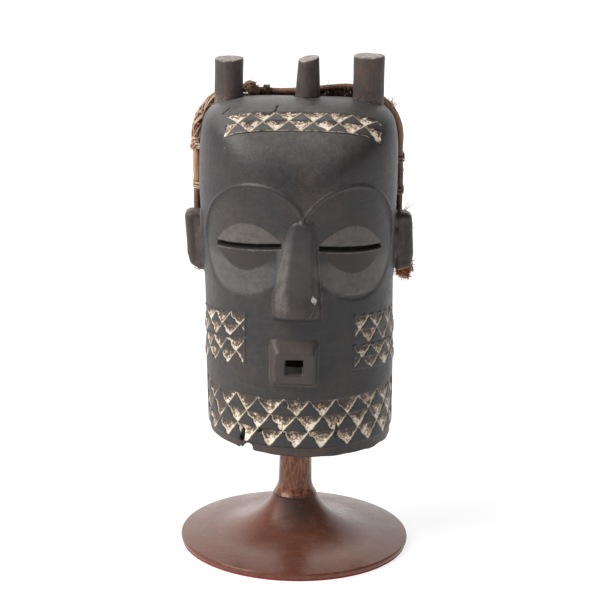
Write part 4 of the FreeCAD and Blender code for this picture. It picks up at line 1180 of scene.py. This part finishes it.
def build():
    """Every piece over its CAD node, and materials for the nodes that stay."""
    mask = next(name for name, nodes in frame["record"]["behaviour"]["bodies"].items()
                if "mask_shell" in nodes)
    dress(make_shell(), mask_paint(), mask, "mask_shell")
    peg = peg_paint()
    for node, *cut in (("left_peg", (0.02, -0.05), ((4.3, 0.14, 1.5), (5.0, 0.1, 1.1)), 2),
                       ("middle_peg", (0.20, 0.05), ((4.0, 0.2, 1.0),), 7, 0.06),
                       ("right_peg", (0.01, -0.06), ((4.9, 0.12, 1.2), (1.2, 0.3, 0.8)), 9)):
        dress(make_peg(node, *cut), peg, mask, node)
    cane = cane_paint()
    roll = fibre_paint("dark fibre",
                       (0.030, 0.020, 0.015), (0.075, 0.048, 0.033), (0.14, 0.09, 0.06))
    raffia = raffia_paint()
    tuft = fibre_paint("orange fibre",
                       (0.24, 0.085, 0.034), (0.50, 0.21, 0.085), (0.62, 0.36, 0.19))
    dress(make_cane(), cane, mask, "rim_cane")
    dress(make_roll(), roll, mask, "rim_roll")
    dress(make_wrap(), raffia, mask, "cane_wrap")
    dress(make_crown_knot(), raffia, mask, "crown_knot")
    for node, axis, seed in (("left_lashings", 2, 31), ("right_lashings", 2, 37),
                             ("crown_lashings", 0, 41)):
        dress(make_lashing(node, axis, seed), raffia, mask, node)
    for node, *shape in (("left_tuft", (4.6, 5.0, 7.5), 0.0, 3.0, 51),
                         ("right_tuft", (8.6, 6.5, 12.0), 3.0, 0.0, 53)):
        dress(make_tuft(node, *shape), tuft, mask, node)
    carried = {
        "stand_wood": stand_paint(),
        "felt": plain_paint("red felt", (0.20, 0.022, 0.018), (0.30, 0.045, 0.035), 0.95),
        "steel": plain_paint("steel", (0.55, 0.55, 0.56), (0.62, 0.62, 0.62), 0.35, 1.0),
        "washer_plastic": plain_paint("pale washer", (0.72, 0.70, 0.64), (0.78, 0.76, 0.70), 0.4),
    }
    slots = {s["node"]: s["material_slot"] for s in frame["record"]["subparts"]}
    for node, thing in frame["nodes"].items():
        if slots[node] in carried:
            thing.data.materials.clear()
            thing.data.materials.append(carried[slots[node]])


# ---- light, floor and camera --------------------------------------------------------------------
def sun_light(name, toward, power, spread):
    """A broad soft light from a direction."""
    data = bpy.data.lights.new(name, "SUN")
    data.energy = power
    data.angle = math.radians(spread)
    light = bpy.data.objects.new(name, data)
    bpy.context.scene.collection.objects.link(light)
    light.rotation_euler = Vector(toward).to_track_quat("Z", "Y").to_euler()


def light_up_world(world):
    """A room that is bright behind and low down, softer to the left and dim to the right."""
    tree = world.node_tree
    around = tree.nodes.new("ShaderNodeTexCoord")
    apart = tree.nodes.new("ShaderNodeSeparateXYZ")
    tree.links.new(around.outputs["Generated"], apart.inputs[0])
    x, y, z = (Value(tree, s) for s in apart.outputs)
    strength = x.ramp(0.4, -0.9, 0.10, 0.50) + y.ramp(0.35, 0.95, 0.0, 1.3)
    strength = strength.max(z.ramp(0.07, 0.12, 1.0, 0.0))
    tree.links.new(strength.socket, tree.nodes["Background"].inputs[1])


def make_stage():
    """A white floor, a room, one soft sun from the upper left, and the camera."""
    bpy.ops.mesh.primitive_plane_add(size=40, location=(0, 0, 0))
    floor = bpy.context.object
    floor.name = "floor"
    paint = Paint("pale floor", roughness=0.7, specular=0.1)
    paint.layer((0.32, 0.32, 0.32))
    paint.shader.inputs["Emission Color"].default_value = (1, 1, 1, 1)
    paint.shader.inputs["Emission Strength"].default_value = 0.80
    floor.data.materials.append(paint.finish())
    world = bpy.data.worlds.new("soft room")
    bpy.context.scene.world = world
    world.use_nodes = True
    world.node_tree.nodes["Background"].inputs[0].default_value = (1, 1, 1, 1)
    light_up_world(world)
    bpy.context.scene.view_settings.view_transform = "Standard"
    sun_light("key", (-0.66, -0.30, 0.70), 3.3, 40)
    data = bpy.data.cameras.new("camera")
    data.lens = 204
    data.sensor_width = 36
    data.clip_start, data.clip_end = 0.05, 100
    camera = bpy.data.objects.new("camera", data)
    bpy.context.scene.collection.objects.link(camera)
    place, aim = Vector((0, -3.0, 1.218)), Vector((0.0014, 0, 0.238))
    camera.location = place
    roll = Matrix.Rotation(math.radians(1.09), 3, "Z")
    camera.rotation_euler = ((aim - place).to_track_quat("-Z", "Y").to_matrix() @ roll).to_euler()
    bpy.context.scene.camera = camera


build()
make_stage()
